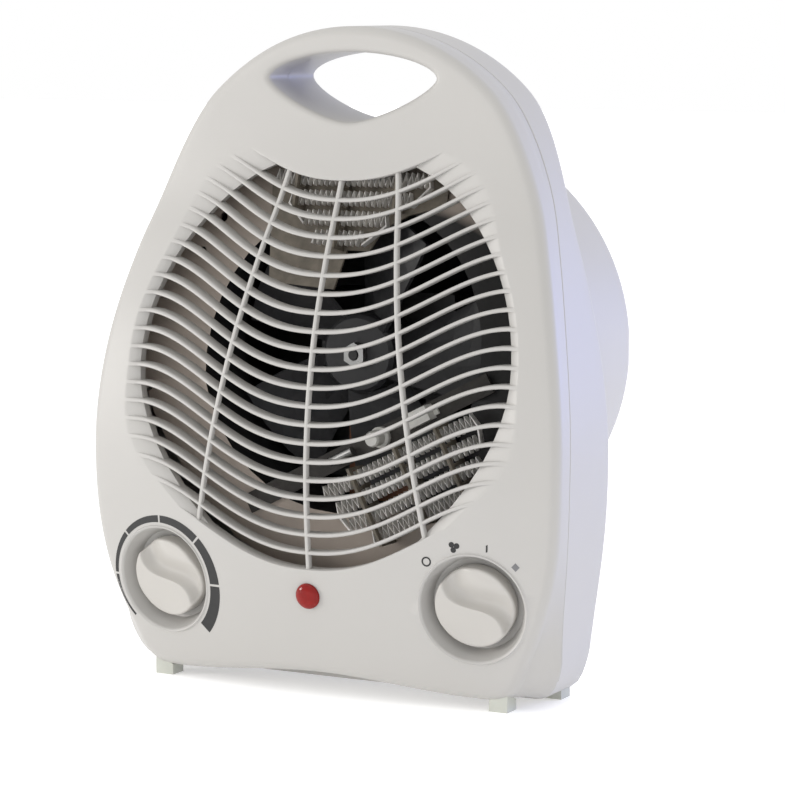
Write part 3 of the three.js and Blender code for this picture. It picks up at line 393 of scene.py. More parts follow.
def surface(name, base, variation, patch, rough, grain, bump, metallic=0.0):
    """A material with slow colour variation, uneven roughness and a fine grain in its surface.

    Patch and grain say how small the colour patches and the grain are: larger is finer.
    """
    material = bpy.data.materials.new(name)
    material.use_nodes = True
    tree, shader = material.node_tree, shader_of(material)
    slow = noise_node(tree, patch, 3.0)
    light = tuple(min(c * (1 + variation), 1.0) for c in base)
    dark = tuple(c * (1 - variation) for c in base)
    colour = ramp_between(tree, slow.outputs["Fac"], dark, light)
    tree.links.new(colour.outputs["Color"], shader.inputs["Base Color"])
    fine = noise_node(tree, grain, 2.0)
    spread = tree.nodes.new("ShaderNodeMapRange")
    spread.inputs["To Min"].default_value = rough[0]
    spread.inputs["To Max"].default_value = rough[1]
    tree.links.new(fine.outputs["Fac"], spread.inputs["Value"])
    tree.links.new(spread.outputs["Result"], shader.inputs["Roughness"])
    relief = tree.nodes.new("ShaderNodeBump")
    relief.inputs["Strength"].default_value = bump
    relief.inputs["Distance"].default_value = GRAIN_DEPTH
    tree.links.new(fine.outputs["Fac"], relief.inputs["Height"])
    tree.links.new(relief.outputs["Normal"], shader.inputs["Normal"])
    shader.inputs["Metallic"].default_value = metallic
    return material


def red_lens():
    """Deep red plastic that lets a little light through."""
    material = surface("red_lens", (0.24, 0.006, 0.004), 0.12, 300.0, (0.08, 0.16), 500.0, 0.02)
    shader = shader_of(material)
    shader.inputs["Transmission Weight"].default_value = 0.1
    shader.inputs["Specular IOR Level"].default_value = 0.25
    return material


def duct_steel():
    """Brown sheet steel, with painted shade that turns it nearly black round the bore and on to its
    right.
    """
    base = (0.42, 0.36, 0.31)
    material = surface("duct_steel", base, 0.1, 24.0, (0.42, 0.6), 900.0, 0.2, metallic=0.1)
    tree, shader = material.node_tree, shader_of(material)
    brown = shader.inputs["Base Color"].links[0].from_socket
    place = tree.nodes.new("ShaderNodeTexCoord")
    mapping = tree.nodes.new("ShaderNodeMapping")
    mapping.vector_type = "TEXTURE"
    # Inside an ellipse round the bore, shifted to the right, the colour is nearly black: painted
    # shade.
    shade_x, shade_half_width, shade_half_height, endless = 22 * MM, 66 * MM, 60 * MM, 1000.0
    mapping.inputs["Location"].default_value = (shade_x, 0.0, FAN_Z * MM)
    mapping.inputs["Scale"].default_value = (shade_half_width, endless, shade_half_height)
    reach = tree.nodes.new("ShaderNodeVectorMath")
    reach.operation = "LENGTH"
    tree.links.new(place.outputs["Object"], mapping.inputs["Vector"])
    tree.links.new(mapping.outputs["Vector"], reach.inputs[0])
    shade_edge = tree.nodes.new("ShaderNodeMapRange")
    shade_edge.inputs["From Min"].default_value = 0.96
    shade_edge.inputs["From Max"].default_value = 1.03
    tree.links.new(reach.outputs["Value"], shade_edge.inputs["Value"])
    mix = tree.nodes.new("ShaderNodeMix")
    mix.data_type = "RGBA"
    # A is the near-black of the painted shade, B the brown of the steel.
    mix.inputs["A"].default_value = (0.012, 0.011, 0.011, 1)
    tree.links.new(shade_edge.outputs["Result"], mix.inputs["Factor"])
    tree.links.new(brown, mix.inputs["B"])
    tree.links.new(mix.outputs["Result"], shader.inputs["Base Color"])
    return material


WHITE = surface("white_plastic", (0.446, 0.434, 0.414), 0.012, 14.0, (0.4, 0.5), 1600.0, 0.1)
KNOB_WHITE = surface("knob_plastic", (0.475, 0.457, 0.427), 0.012, 30.0, (0.3, 0.4), 1800.0, 0.05)
# Near-black painted shade for inner faces, standing in for the shade inside the housing.
PAINTED_SHADE_INSIDE = surface("unlit_inside", (0.012, 0.012, 0.013), 0.2, 20.0, (0.6, 0.75), 900.0, 0.1)
BLACK = surface("black_plastic", (0.02, 0.02, 0.021), 0.15, 40.0, (0.4, 0.55), 1200.0, 0.15)
FAN_GREY = surface("fan_plastic", (0.028, 0.028, 0.030), 0.15, 30.0, (0.42, 0.55), 900.0, 0.1)
# A near-black copy of the mica board: painted shade for the mica bridge.
MICA_IN_PAINTED_SHADE = surface("mica_painted_shade", (0.035, 0.031, 0.027), 0.28, 160.0, (0.55, 0.75), 700.0, 0.35)
MOTOR_STEEL = surface(
    "lacquered_steel", (0.05, 0.05, 0.05), 0.12, 60.0, (0.35, 0.5), 700.0, 0.1, metallic=0.6,
)
STEEL = surface(
    "plated_steel", (0.42, 0.42, 0.41), 0.08, 60.0, (0.22, 0.38), 700.0, 0.1, metallic=1.0,
)
DUCT_STEEL_AND_SHADE = duct_steel()
MICA = surface("mica_board", (0.20, 0.175, 0.14), 0.28, 160.0, (0.5, 0.75), 700.0, 0.35)
ALLOY = surface(
    "heating_alloy", (0.80, 0.78, 0.75), 0.2, 260.0, (0.3, 0.45), 900.0, 0.1, metallic=0.2,
)
COPPER = surface(
    "copper_winding", (0.16, 0.065, 0.03), 0.15, 200.0, (0.35, 0.5), 1500.0, 0.4, metallic=0.3,
)
CERAMIC = surface("white_ceramic", (0.75, 0.74, 0.7), 0.04, 60.0, (0.15, 0.25), 800.0, 0.05)
RUBBER = surface("grey_rubber", (0.5, 0.51, 0.46), 0.06, 90.0, (0.65, 0.8), 1500.0, 0.25)
BRASS = surface(
    "turned_brass", (0.6, 0.45, 0.2), 0.08, 90.0, (0.22, 0.36), 800.0, 0.1, metallic=1.0,
)
INK = surface("printed_ink", (0.014, 0.014, 0.014), 0.1, 400.0, (0.45, 0.6), 1500.0, 0.05)
PALE_INK = surface("pale_ink", (0.16, 0.16, 0.165), 0.1, 400.0, (0.45, 0.6), 1500.0, 0.05)
RED = red_lens()


# ------------------------------------------------------------------ camera and studio
def scene_camera():
    """A long lens a little above the heater, 28 degrees round to its right-hand side."""
    azimuth, elevation = math.radians(28.156), math.radians(7.05)
    distance, aside, above = 1245.15, 33.49, 0.207
    aim = Vector((0, -58.4, 121.84))
    forward = Vector((
        -math.sin(azimuth) * math.cos(elevation), math.cos(azimuth) * math.cos(elevation),
        -math.sin(elevation),
    ))
    right = Vector((math.cos(azimuth), math.sin(azimuth), 0))
    up = right.cross(forward)
    camera = new_object("camera", bpy.data.cameras.new("camera"))
    camera.data.sensor_width = 36.0
    camera.data.lens = 146.69
    place = (aim - forward * distance + right * aside + up * above) * MM
    axes = Matrix((right, up, -forward)).transposed().to_4x4()
    camera.matrix_world = Matrix.Translation(place) @ axes
    camera.data.clip_start, camera.data.clip_end = 0.05, 20.0
    bpy.context.scene.camera = camera


def area_light(name, place, size, power, colour):
    """A round soft lamp that points at the middle of the heater."""
    data = bpy.data.lights.new(name, "AREA")
    data.shape = "DISK"
    data.size = size
    data.energy = power
    data.color = colour
    light = new_object(name, data)
    light.location = place
    light.rotation_mode = "QUATERNION"
    light.rotation_quaternion = (Vector((0, 0, 0.13)) - light.location).to_track_quat("-Z", "Y")


def studio():
    """A pale floor and surround, a warm lamp, a blue one behind and a weak, broad sun overhead."""
    half = 6.0
    corners = [(-half, -half, 0), (half, -half, 0), (half, half, 0), (-half, half, 0)]
    mesh = bpy.data.meshes.new("floor")
    mesh.from_pydata(corners, [], [(0, 1, 2, 3)])
    paper = surface("floor_paper", (0.96, 0.96, 0.96), 0.006, 2.0, (0.75, 0.85), 300.0, 0.03)
    shader_of(paper).inputs["Emission Color"].default_value = (1, 1, 1, 1)
    shader_of(paper).inputs["Emission Strength"].default_value = 0.32
    mesh.materials.append(paper)
    floor = new_object("floor", mesh)
    world = bpy.data.worlds.new("surround")
    world.use_nodes = True
    shade = world.node_tree.nodes["Background"]
    shade.inputs["Color"].default_value = (1.0, 1.0, 1.0, 1)
    shade.inputs["Strength"].default_value = 1.0
    bpy.context.scene.world = world
    area_light("key", (-1.75, -1.2, 0.4), 0.5, 14.0, (1.0, 0.97, 0.94))
    area_light("cool_side", (1.4, 1.6, 0.4), 0.8, 15.0, (0.25, 0.34, 1.0))
    data = bpy.data.lights.new("overhead", "SUN")
    data.energy = 0.3
    data.angle = math.radians(70)
    new_object("overhead", data)
    bpy.context.scene.view_settings.view_transform = "Standard"


# ------------------------------------------------------------------ grille
OPENING_BOTTOM_X = 47.0
OPENING_TOP_X = 31.0
OPENING_FOOT = (OPENING_BOTTOM_X, OPENING_BOTTOM_Z + wave(OPENING_BOTTOM_X))
OPENING_HEAD = (OPENING_TOP_X, OPENING_TOP_Z + wave(OPENING_TOP_X))
OPENING_WIDEST = (83, 131)
OPENING_SIDE = np.concatenate([
    bezier(OPENING_FOOT, (66, 84), (83, 106), OPENING_WIDEST),
    bezier(OPENING_WIDEST, (83, 170), (54, 201), OPENING_HEAD)[1:],
])
MIDDLE_HEIGHTS = OPENING_SIDE[:, 1] - wave(OPENING_SIDE[:, 0])


def opening_half_width(s):
    """Half the opening's width along the blade line that crosses the middle at height s."""
    return np.interp(s, MIDDLE_HEIGHTS, OPENING_SIDE[:, 0])


def fade_length(s):
    """How far the grooves between the blades run on into the panel."""
    return 4.5 + 9.0 * smoothstep(s, 145, 190) + 9.0 * smoothstep(-s, -105, -65)


# Heights across one blade, and how deep its surface lies there.
BLADE_SECTION = [
    (-BLADE_HALF, BLADE_DEPTH), (-BLADE_HALF, 1.8), (-0.74, 1.25), (-0.52, 0.92),
    (-0.22, LATTICE_SINK), (0.22, LATTICE_SINK),
    (0.52, 0.92), (0.74, 1.25), (BLADE_HALF, 1.8), (BLADE_HALF, BLADE_DEPTH),
]


# The lower and upper edges of the opening: how far outside it, and how deep.
OPENING_EDGE = [(2.2, 0), (0.9, 0), (0.35, 0.1), (0, 0.7), (0, BLADE_DEPTH)]


def grille_lines():
    """Lines along the grille, upwards, as (height at the middle, depth)."""
    lines = [(OPENING_BOTTOM_Z - away, depth) for away, depth in OPENING_EDGE]
    for row in range(BLADES):
        middle = LOWEST_BLADE_Z + row * PITCH
        lines += [(middle + ds, depth) for ds, depth in BLADE_SECTION]
    lines += [(OPENING_TOP_Z + away, depth) for away, depth in OPENING_EDGE[::-1]]
    return lines


INNER_STEPS = 60
FADE_STEPS = 9
GROOVE_DEPTH = 3.0  # of a groove where it leaves the opening


def grille(shell):
    """The blades, and the grooves that fade into the panel. Returns the grille's outer loop."""
    lines = grille_lines()
    fading = np.linspace(0, 1, FADE_STEPS + 1)
    shares = np.concatenate([-1 - fading[::-1], np.linspace(-1, 1, INNER_STEPS + 1), 1 + fading])
    first, last = FADE_STEPS + 1, FADE_STEPS + 1 + INNER_STEPS
    column = np.arange(len(shares))
    beside = (column < first) | (column > last)
    over = np.clip(np.abs(shares) - 1, 0, 1)
    keep = (1 - over) ** 1.35 * (1 - smoothstep(over, 0.75, 1.0))
    rows, flat = [], []
    for s, depth in lines:
        half, fade = opening_half_width(s), fade_length(s)
        x = np.sign(shares) * (np.minimum(np.abs(shares), 1) * half + over * fade)
        z = s + wave(x)
        flat.append(np.stack([x, z], axis=1))
        sink = np.where(beside, min(depth, GROOVE_DEPTH) * keep, depth)
        rows.append(np.stack([x, face_y(x, z) + sink, z], axis=1))
    index = [shell.add(row) for row in rows]
    for a in range(len(lines) - 1):
        gap = lines[a][1] == BLADE_DEPTH and lines[a + 1][1] == BLADE_DEPTH
        for i in range(len(shares) - 1):
            if gap and first <= i < last:
                continue
            shell.face((index[a][i], index[a][i + 1], index[a + 1][i + 1], index[a + 1][i]))
    for row in range(BLADES):
        start = len(OPENING_EDGE) + row * len(BLADE_SECTION)
        low, high = index[start], index[start + len(BLADE_SECTION) - 1]
        for i in range(first, last):
            shell.face((low[i], low[i + 1], high[i + 1], high[i]))
    right = [flat[a][-1] for a in range(len(lines))]
    left = [flat[a][0] for a in range(len(lines) - 1, -1, -1)]
    loop = np.array([*flat[0][:-1], *right, *flat[-1][::-1][1:-1], *left])
    fresh = np.linalg.norm(loop - np.roll(loop, 1, axis=0), axis=1) > 1e-6
    return loop[fresh]


RIBS = ((0, 0), (51, 24.3), (-51, -24.3))  # x at the bottom and at the top


def rib(shell, bottom_x, top_x):
    """One rib across the blades, with rounded front corners."""
    section = [(-RIB_HALF, RIB_DEPTH), (-RIB_HALF, 1.4), (-0.68, 0.92), (-0.32, 0.72),
               (0.32, 0.72), (0.68, 0.92), (RIB_HALF, 1.4), (RIB_HALF, RIB_DEPTH)]
    rows = []
    for share in np.linspace(0, 1, 64):
        s_low = OPENING_BOTTOM_Z + wave(bottom_x) - 0.6
        s_high = OPENING_TOP_Z + wave(top_x) + 0.6
        z = s_low + share * (s_high - s_low)
        x = bottom_x + share * (top_x - bottom_x)
        rows.append([(x + dx, face_y(x + dx, z) + depth, z) for dx, depth in section])
    shell.rings(rows, closed=True)


# ------------------------------------------------------------------ dials
def dial_matrix(x, z):
    """Stands a dial square to the face. Its local Z points out of the face."""
    step = 2.0
    slope_x = (face_y(x + step, z) - face_y(x - step, z)) / (2 * step)
    slope_z = (face_y(x, z + step) - face_y(x, z - step)) / (2 * step)
    out = Vector((slope_x, -1, slope_z)).normalized()
    up = (Vector((0, 0, 1)) - out * out.z).normalized()
    right = up.cross(out)
    turn = Matrix((right, up, out)).transposed().to_4x4()
    return Matrix.Translation(Vector((x, face_y(x, z), z))) @ turn


def ring_points(radius, height, matrix, count=72):
    """A circle round a dial's axis, as points in space."""
    angle = np.linspace(0, 2 * math.pi, count, endpoint=False)
    points = [matrix @ Vector((radius * math.cos(a), radius * math.sin(a), height)) for a in angle]
    return np.array([tuple(p) for p in points])


def dial_loop(radius, matrix):
    """A circle round a dial, laid on the face, as a flat loop."""
    return ring_points(radius, 0, matrix)[:, [0, 2]]


DISH_LIP = 1.6
SHAFT_HOLE = 4.0


def dish(shell, matrix):
    """The rounded lip, cone and floor of one dial's dish. Its lip starts on the face."""
    rim = dial_loop(DISH_RADIUS + DISH_LIP, matrix)
    rings = [at_depth(rim, face_y(rim[:, 0], rim[:, 1]))]
    profile = [
        (DISH_RADIUS + DISH_LIP - sideways, -drop) for sideways, drop in rounding(DISH_LIP, 5)[1:]
    ]
    slope, cone_depth = DISH_RADIUS - DISH_FLOOR_RADIUS, DISH_DEPTH - DISH_LIP - 0.6
    for share in (0.35, 0.7, 0.9):
        profile.append((DISH_RADIUS - slope * share, -DISH_LIP - share * cone_depth))
    profile += [
        (DISH_FLOOR_RADIUS, -DISH_DEPTH + 0.45), (DISH_FLOOR_RADIUS - 0.8, -DISH_DEPTH),
        (SHAFT_HOLE, -DISH_DEPTH), (SHAFT_HOLE, -DISH_DEPTH - WALL),
    ]
    rings.extend(ring_points(radius, height, matrix) for radius, height in profile)
    shell.rings(rings)


GRIP_TURN = math.radians(-48)
GRIP_SWING = 4.6  # of the S, to each side
GRIP_HALF_WAVE = 19.0
SCOOP_DEPTH = 4.1
SCOOP_RISE = 3.8  # of the scoop's floor, towards the rim
KNOB_ROUND = 1.0
KNOB_WALL = 1.8


def knob_height(x, y):
    """The top of a knob: an S-shaped ridge, with a scoop on its upper right side."""
    along = x * math.cos(GRIP_TURN) + y * math.sin(GRIP_TURN)
    across = -x * math.sin(GRIP_TURN) + y * math.cos(GRIP_TURN)
    ridge = GRIP_SWING * np.sin(math.pi * along / GRIP_HALF_WAVE)
    side = across - ridge
    low = KNOB_TOP - SCOOP_DEPTH + SCOOP_RISE * smoothstep(side, 3.0, 15.0)
    high = KNOB_TOP - 1.3 * smoothstep(-side, 3.0, 20.0)
    blend = 1 - (1 - np.clip((side + 0.4) / 4.0, 0, 1)) ** 2.2
    return high * (1 - blend) + low * blend


def knob(name, matrix, body, node):
    """One knob: gripped top, rounded edge, skirt down into the dish, start of its hollow."""
    angle = np.linspace(0, 2 * math.pi, 144, endpoint=False)
    x, y = np.cos(angle), np.sin(angle)
    edge = KNOB_RADIUS - KNOB_ROUND
    top = knob_height(x * edge, y * edge)
    skirt = -DISH_DEPTH + 0.8
    levels = [
        (radius, knob_height(radius * x, radius * y)) for radius in np.linspace(0.02, edge, 46)
    ]
    levels += [(edge + sideways, top - drop) for sideways, drop in rounding(KNOB_ROUND, 4)[1:]]
    for share in (0.5, 1.0):
        levels.append((KNOB_RADIUS, (top - KNOB_ROUND) * (1 - share) + skirt * share))
    levels += [(KNOB_RADIUS - KNOB_WALL, skirt), (KNOB_RADIUS - KNOB_WALL, skirt + 2)]
    shell = Shell()
    made = shell.rings([
        np.stack([x * radius, y * radius, np.broadcast_to(z, len(angle))], axis=1)
        for radius, z in levels
    ])
    shell.face(made[0][::-1])
    metres = Matrix.Translation(matrix.translation * MM) @ matrix.to_3x3().to_4x4()
    shell.build(name, [KNOB_WHITE], "white_plastic", body, [node], sharp=55, matrix=metres)


INK_LIFT = 0.06


def on_face(face_tree, matrix, x, y):
    """A point of printing, from local coordinates round a dial: straight in front of the face."""
    point = matrix @ Vector((x, y, 0))
    hit = face_tree.ray_cast(Vector((point.x, FRONT_Y - 10, point.z)), Vector((0, 1, 0)))[0]
    return (point.x, hit.y - INK_LIFT, point.z)


SCALE_RADIUS = 23.7
SYMBOL_RADIUS = 25.6


def temperature_scale(face_tree, matrix):
    """A printed ring of six segments that grows thicker clockwise."""
    shell = Shell()
    start, span, segments = -135.0, 45.0, 6
    gap = 2.0
    for segment in range(segments):
        low = start + segment * span + (gap if segment else 0) / 2
        high = start + (segment + 1) * span - (gap if segment < segments - 1 else 0) / 2
        rows = []
        for degrees in np.linspace(low, high, 16):
            share = (degrees - start) / (span * segments)
            thick = 1.0 + 4.3 * share ** 1.15
            angle = math.radians(degrees)
            rows.append([
                on_face(face_tree, matrix, radius * math.sin(angle), radius * math.cos(angle))
                for radius in (SCALE_RADIUS, SCALE_RADIUS + thick)
            ])
        shell.grid(rows)
    shell.build("temperature_scale", [INK], slot="black_plastic")


def printed_shape(shell, face_tree, matrix, outline):
    """A filled flat shape on the face, from local points round the dial."""
    shell.face(shell.add([on_face(face_tree, matrix, x, y) for x, y in outline]))


def heat_symbols(face_tree, matrix):
    """Off ring, small fan, one stroke and a diamond, over the selector."""
    ring, small_fan, stroke, diamond = [
        (SYMBOL_RADIUS * math.sin(math.radians(a)), SYMBOL_RADIUS * math.cos(math.radians(a)))
        for a in (-45, -15, 15, 45)
    ]
    dark, pale = Shell(), Shell()
    cx, cy = ring
    rows = []
    for a in np.linspace(0, 2 * math.pi, 28, endpoint=False):
        rows.append([(cx + r * math.cos(a), cy + r * math.sin(a)) for r in (1.35, 2.0)])
    for row, following in zip(rows, rows[1:] + rows[:1]):
        printed_shape(dark, face_tree, matrix, [row[0], row[1], following[1], following[0]])
    cx, cy = small_fan
    for turn in (20, 140, 260):
        lobe = math.radians(turn)
        middle = (cx + 1.25 * math.cos(lobe), cy + 1.25 * math.sin(lobe))
        printed_shape(dark, face_tree, matrix, circle(1.15, middle, 18))
    for shell, (cx, cy), corners in (
        (dark, stroke, ((-0.3, -1.5), (0.4, -1.2), (0.5, 1.7), (-0.2, 1.3))),
        (pale, diamond, ((-1.7, 0), (0, -1.7), (1.7, 0), (0, 1.7))),
    ):
        printed_shape(shell, face_tree, matrix, [(cx + dx, cy + dy) for dx, dy in corners])
    dark.build("selector_symbols", [INK], slot="black_plastic")
    pale.build("selector_diamond", [PALE_INK], slot="black_plastic")


# ------------------------------------------------------------------ front cover
HANDLE_LIP = 2.6
LAMP_HOLE = 4.4


def front_cover(dials):
    """The whole front half. Returns its faces for laying the printing on."""
    shell = Shell()
    grille_loop = grille(shell)
    for bottom_x, top_x in RIBS:
        rib(shell, bottom_x, top_x)
    handle = handle_outline(HANDLE_LIP)
    dial_loops = [dial_loop(DISH_RADIUS + DISH_LIP, matrix) for matrix in dials]
    lamp = circle(LAMP_HOLE, (0, DIAL_Z), 40)
    rim = grown(FACE_OUTLINE, -EDGE_ROUND)
    shell.sheet(rim, [handle, grille_loop, *dial_loops, lamp], face_y, 3.0)
    for matrix in dials:
        dish(shell, matrix)
    lamp_y = face_y(lamp[:, 0], lamp[:, 1])
    shell.rings([at_depth(lamp, lamp_y), at_depth(lamp, lamp_y + 3)])
    rings = []
    for sideways, drop in rounding(EDGE_ROUND, 8):
        loop = grown(FACE_OUTLINE, sideways - EDGE_ROUND)
        rings.append(at_depth(loop, face_y(loop[:, 0], loop[:, 1]) + drop))
    corner = rings[-1]
    seam = seam_y(FRONT_OUTLINE[:, 1])
    for share in (0.5, 0.97):
        rings.append(corner * (1 - share) + at_depth(FRONT_OUTLINE, seam - SEAM_LINE) * share)
    rings.append(at_depth(grown(FRONT_OUTLINE, -0.25), seam - SEAM_LINE))
    rings.append(at_depth(grown(FRONT_OUTLINE, -WALL), seam - SEAM_LINE))
    shell.rings(rings)
    sleeve = []
    for sideways, drop in rounding(HANDLE_LIP, 6):
        loop = grown(handle, -sideways)
        sleeve.append(at_depth(loop, face_y(handle[:, 0], handle[:, 1]) + drop))
    inner = grown(handle, -HANDLE_LIP)
    sleeve.append(at_depth(inner, seam_y(inner[:, 1]) - SEAM_LINE))
    sleeve.append(at_depth(grown(inner, WALL), seam_y(inner[:, 1]) - SEAM_LINE))
    shell.rings(sleeve)
    shell.build("front_shell", [WHITE], slot="white_plastic", replaces=["front_cover"])
    return BVHTree.FromPolygons([Vector(point) for point in shell.points], shell.faces)


# ------------------------------------------------------------------ rear cover
COVER_SCREWS = ((52, 226), (-52, 226), (90, 58), (-90, 58), (36, 24), (-36, 24))
SCREW_RECESS = 3.8
SCREW_SEAT = 6.0  # depth of a recess's floor behind the parting line
INLET = (62, 26)
INLET_RADIUS = 6.35
BACK_LIP = 1.2
UNDERSIDE_TOP_Z = 11.0
SIDE_STEP = 0.1  # share of the way from the parting line's outline to the back's

DRUM_EDGE = 6.0
EDGE_Y = BACK_Y - DRUM_EDGE
DRUM_PROFILE = np.array([
    (-6, DRUM_ROOT_RADIUS), (20, DRUM_ROOT_RADIUS - 1.5), (EDGE_Y, DRUM_RADIUS + 0.5),
])
RIM_RADIUS = DRUM_RADIUS - 5
SHADE_SHEET_RADIUS = 77.0
HUB_RADIUS = 12.0
SPOKES = 6
SECTOR_STEPS = 16


def drum_radius(y):
    """The drum narrows slightly towards its back."""
    return np.interp(y, DRUM_PROFILE[:, 0], DRUM_PROFILE[:, 1])


def polar(radius, angle):
    """Flat points round the fan's axis."""
    return np.stack([radius * np.cos(angle), FAN_Z + radius * np.sin(angle)], axis=1)


def drum_root(angle):
    """Where the drum's wall meets the back of the housing."""
    radius = np.full(len(angle), DRUM_ROOT_RADIUS)
    for _ in range(4):
        radius = drum_radius(back_y(FAN_Z + radius * np.sin(angle)))
    return polar(radius, angle)


def spoke_edge(spoke, radius, side):
    """The angle of a spoke's edge at a radius. The two level spokes are wider than the others."""
    half = 6.5 if spoke % 3 == 0 else 4.0
    return math.radians(360 / SPOKES * spoke) + side * math.asin(half / radius)


def sector_angles(sector, radius):
    """Angles from one spoke's edge to the next spoke's edge."""
    low, high = spoke_edge(sector, radius, 1), spoke_edge(sector + 1, radius, -1)
    return np.linspace(low, high, SECTOR_STEPS + 1)


def round_the_spokes(radius):
    """Angles all the way round, with a point on every edge of every spoke."""
    return np.concatenate([sector_angles(sector, radius) for sector in range(SPOKES)])


def intake(shell):
    """The drum's back: a plate with rings of slots between six spokes, its inner side in painted
    shade, and a near-black sheet of painted shade behind the slots.
    """
    slot_radii = [r for inner in SLOT_RADII for r in (inner, inner + SLOT_WIDTH)]
    radii = [HUB_RADIUS, 20.0, *slot_radii, 76.0, RIM_RADIUS]
    for sector in range(SPOKES):
        rows = [polar(radius, sector_angles(sector, radius)) for radius in radii]
        # The outer side (layer 0) is white plastic; the inner side (layer 1) takes the near-black
        # painted shade.
        for layer, y in enumerate((BACK_Y, BACK_Y - WALL)):
            index = [shell.add(at_depth(row, y)) for row in rows]
            for k in range(len(radii) - 1):
                if radii[k] not in SLOT_RADII:
                    shell.bridge(index[k], index[k + 1], closed=False, mark=layer)
        for inner in SLOT_RADII:
            k = radii.index(inner)
            loop = np.concatenate([rows[k], rows[k + 1][::-1]])
            shell.rings([at_depth(loop, BACK_Y), at_depth(loop, BACK_Y - WALL)])
    for spoke in range(SPOKES):
        for layer, y in enumerate((BACK_Y, BACK_Y - WALL)):
            edges = []
            for side in (-1, 1):
                angles = np.array([spoke_edge(spoke, r, side) for r in radii])
                edges.append(shell.add(at_depth(polar(np.array(radii), angles), y)))
            shell.bridge(*edges, closed=False, mark=layer)
    # A near-black sheet just inside the slots: painted shade that keeps the slots dark.
    shade_sheet = circle(SHADE_SHEET_RADIUS, (0, FAN_Z), 72)
    shell.face(shell.add(at_depth(shade_sheet, BACK_Y - WALL - 0.3)), mark=1)
    hub = polar(HUB_RADIUS, round_the_spokes(HUB_RADIUS))
    shell.face(shell.add(at_depth(hub, BACK_Y)))


def drum(shell, angles):
    """The drum's wall and rounded edge, and its inner wall in near-black painted shade."""
    root = drum_root(angles)
    rings = [at_depth(root, back_y(root[:, 1]))]
    for y in (20, 33, 46, EDGE_Y):
        rings.append(at_depth(polar(drum_radius(y), angles), y))
    corner = drum_radius(EDGE_Y)
    for degrees in (15, 30, 45, 60, 75, 90):
        a = math.radians(degrees)
        radius = RIM_RADIUS + (corner - RIM_RADIUS) * math.cos(a)
        rings.append(at_depth(polar(radius, angles), EDGE_Y + DRUM_EDGE * math.sin(a)))
    shell.rings(rings)
    # The inner wall (mark 1) is painted nearly black as shade.
    inner_wall = [at_depth(polar(RIM_RADIUS, angles), BACK_Y - WALL)]
    for y in (40, 20, -2):
        inner_wall.append(at_depth(polar(drum_radius(y) - WALL, angles), y))
    shell.rings(inner_wall, mark=1)


def rear_cover():
    """The rear half: side wall, back, screw recesses, cord inlet, fan drum and its slotted back."""
    shell = Shell()
    under = FRONT_OUTLINE[:, 1] < UNDERSIDE_TOP_Z
    blend = np.where(under, 1.0, SIDE_STEP)[:, None]
    stepped = FRONT_OUTLINE * (1 - blend) + BACK_OUTLINE * blend
    seam = seam_y(FRONT_OUTLINE[:, 1])
    back_rim = grown(BACK_OUTLINE, -EDGE_ROUND)
    wall_start = at_depth(stepped, seam + SEAM_LINE + 0.3)
    rings = [
        at_depth(grown(FRONT_OUTLINE, -WALL), seam + SEAM_LINE),
        at_depth(grown(stepped, -0.25), seam + SEAM_LINE),
        wall_start,
    ]
    wall_end = at_depth(BACK_OUTLINE, back_y(back_rim[:, 1]) - EDGE_ROUND)
    for share in (0.2, 0.4, 0.6, 0.8):
        rings.append(wall_start * (1 - share) + wall_end * share)
    for sideways, drop in rounding(EDGE_ROUND, 8)[::-1]:
        loop = grown(BACK_OUTLINE, sideways - EDGE_ROUND)
        rings.append(at_depth(loop, back_y(back_rim[:, 1]) - drop))
    shell.rings(rings)
    handle = handle_outline(BACK_LIP)
    angles = round_the_spokes(RIM_RADIUS)
    root = drum_root(angles)
    recesses = [circle(SCREW_RECESS, spot, 28) for spot in COVER_SCREWS]
    inlet = circle(INLET_RADIUS, INLET, 36)
    shell.sheet(back_rim, [handle, root, *recesses, inlet], lambda x, z: back_y(z), 4.0)
    sleeve = []
    for sideways, drop in rounding(BACK_LIP, 4):
        loop = grown(handle, -sideways)
        sleeve.append(at_depth(loop, back_y(handle[:, 1]) - drop))
    inner = grown(handle, -BACK_LIP)
    sleeve.append(at_depth(inner, seam_y(inner[:, 1]) + SEAM_LINE))
    sleeve.append(at_depth(grown(inner, WALL), seam_y(inner[:, 1]) + SEAM_LINE))
    shell.rings(sleeve)
    for spot, loop in zip(COVER_SCREWS, recesses):
        floor = seam_y(spot[1]) + SCREW_SEAT
        ring = shell.rings([at_depth(loop, back_y(loop[:, 1])), at_depth(loop, floor)])[-1]
        shell.face(ring)
    shell.rings([at_depth(inlet, back_y(inlet[:, 1])), at_depth(inlet, back_y(inlet[:, 1]) - WALL)])
    drum(shell, angles)
    intake(shell)
    shell.build("rear_shell", [WHITE, PAINTED_SHADE_INSIDE], slot="white_plastic", replaces=["rear_cover"])


# ------------------------------------------------------------------ lamp and feet
def lamp():
    """The domed red lens, on a short stem through the face."""
    matrix = dial_matrix(0, DIAL_Z)
    profile = [(4.2, -3), (4.2, 0.1), (LAMP_RADIUS, 0.1), (LAMP_RADIUS, 0.45)]
    profile += [
        (0.25 + (LAMP_RADIUS - 0.25) * math.cos(a), 0.45 + 2.1 * math.sin(a))
        for a in np.linspace(0.12, math.pi / 2, 14)
    ]
    shell = Shell()
    made = shell.rings([ring_points(radius, height, matrix, 48) for radius, height in profile])
    shell.face(made[-1])
    shell.build("lamp_lens", [RED], slot="red_lens", replaces=["indicator_lens"], sharp=60)


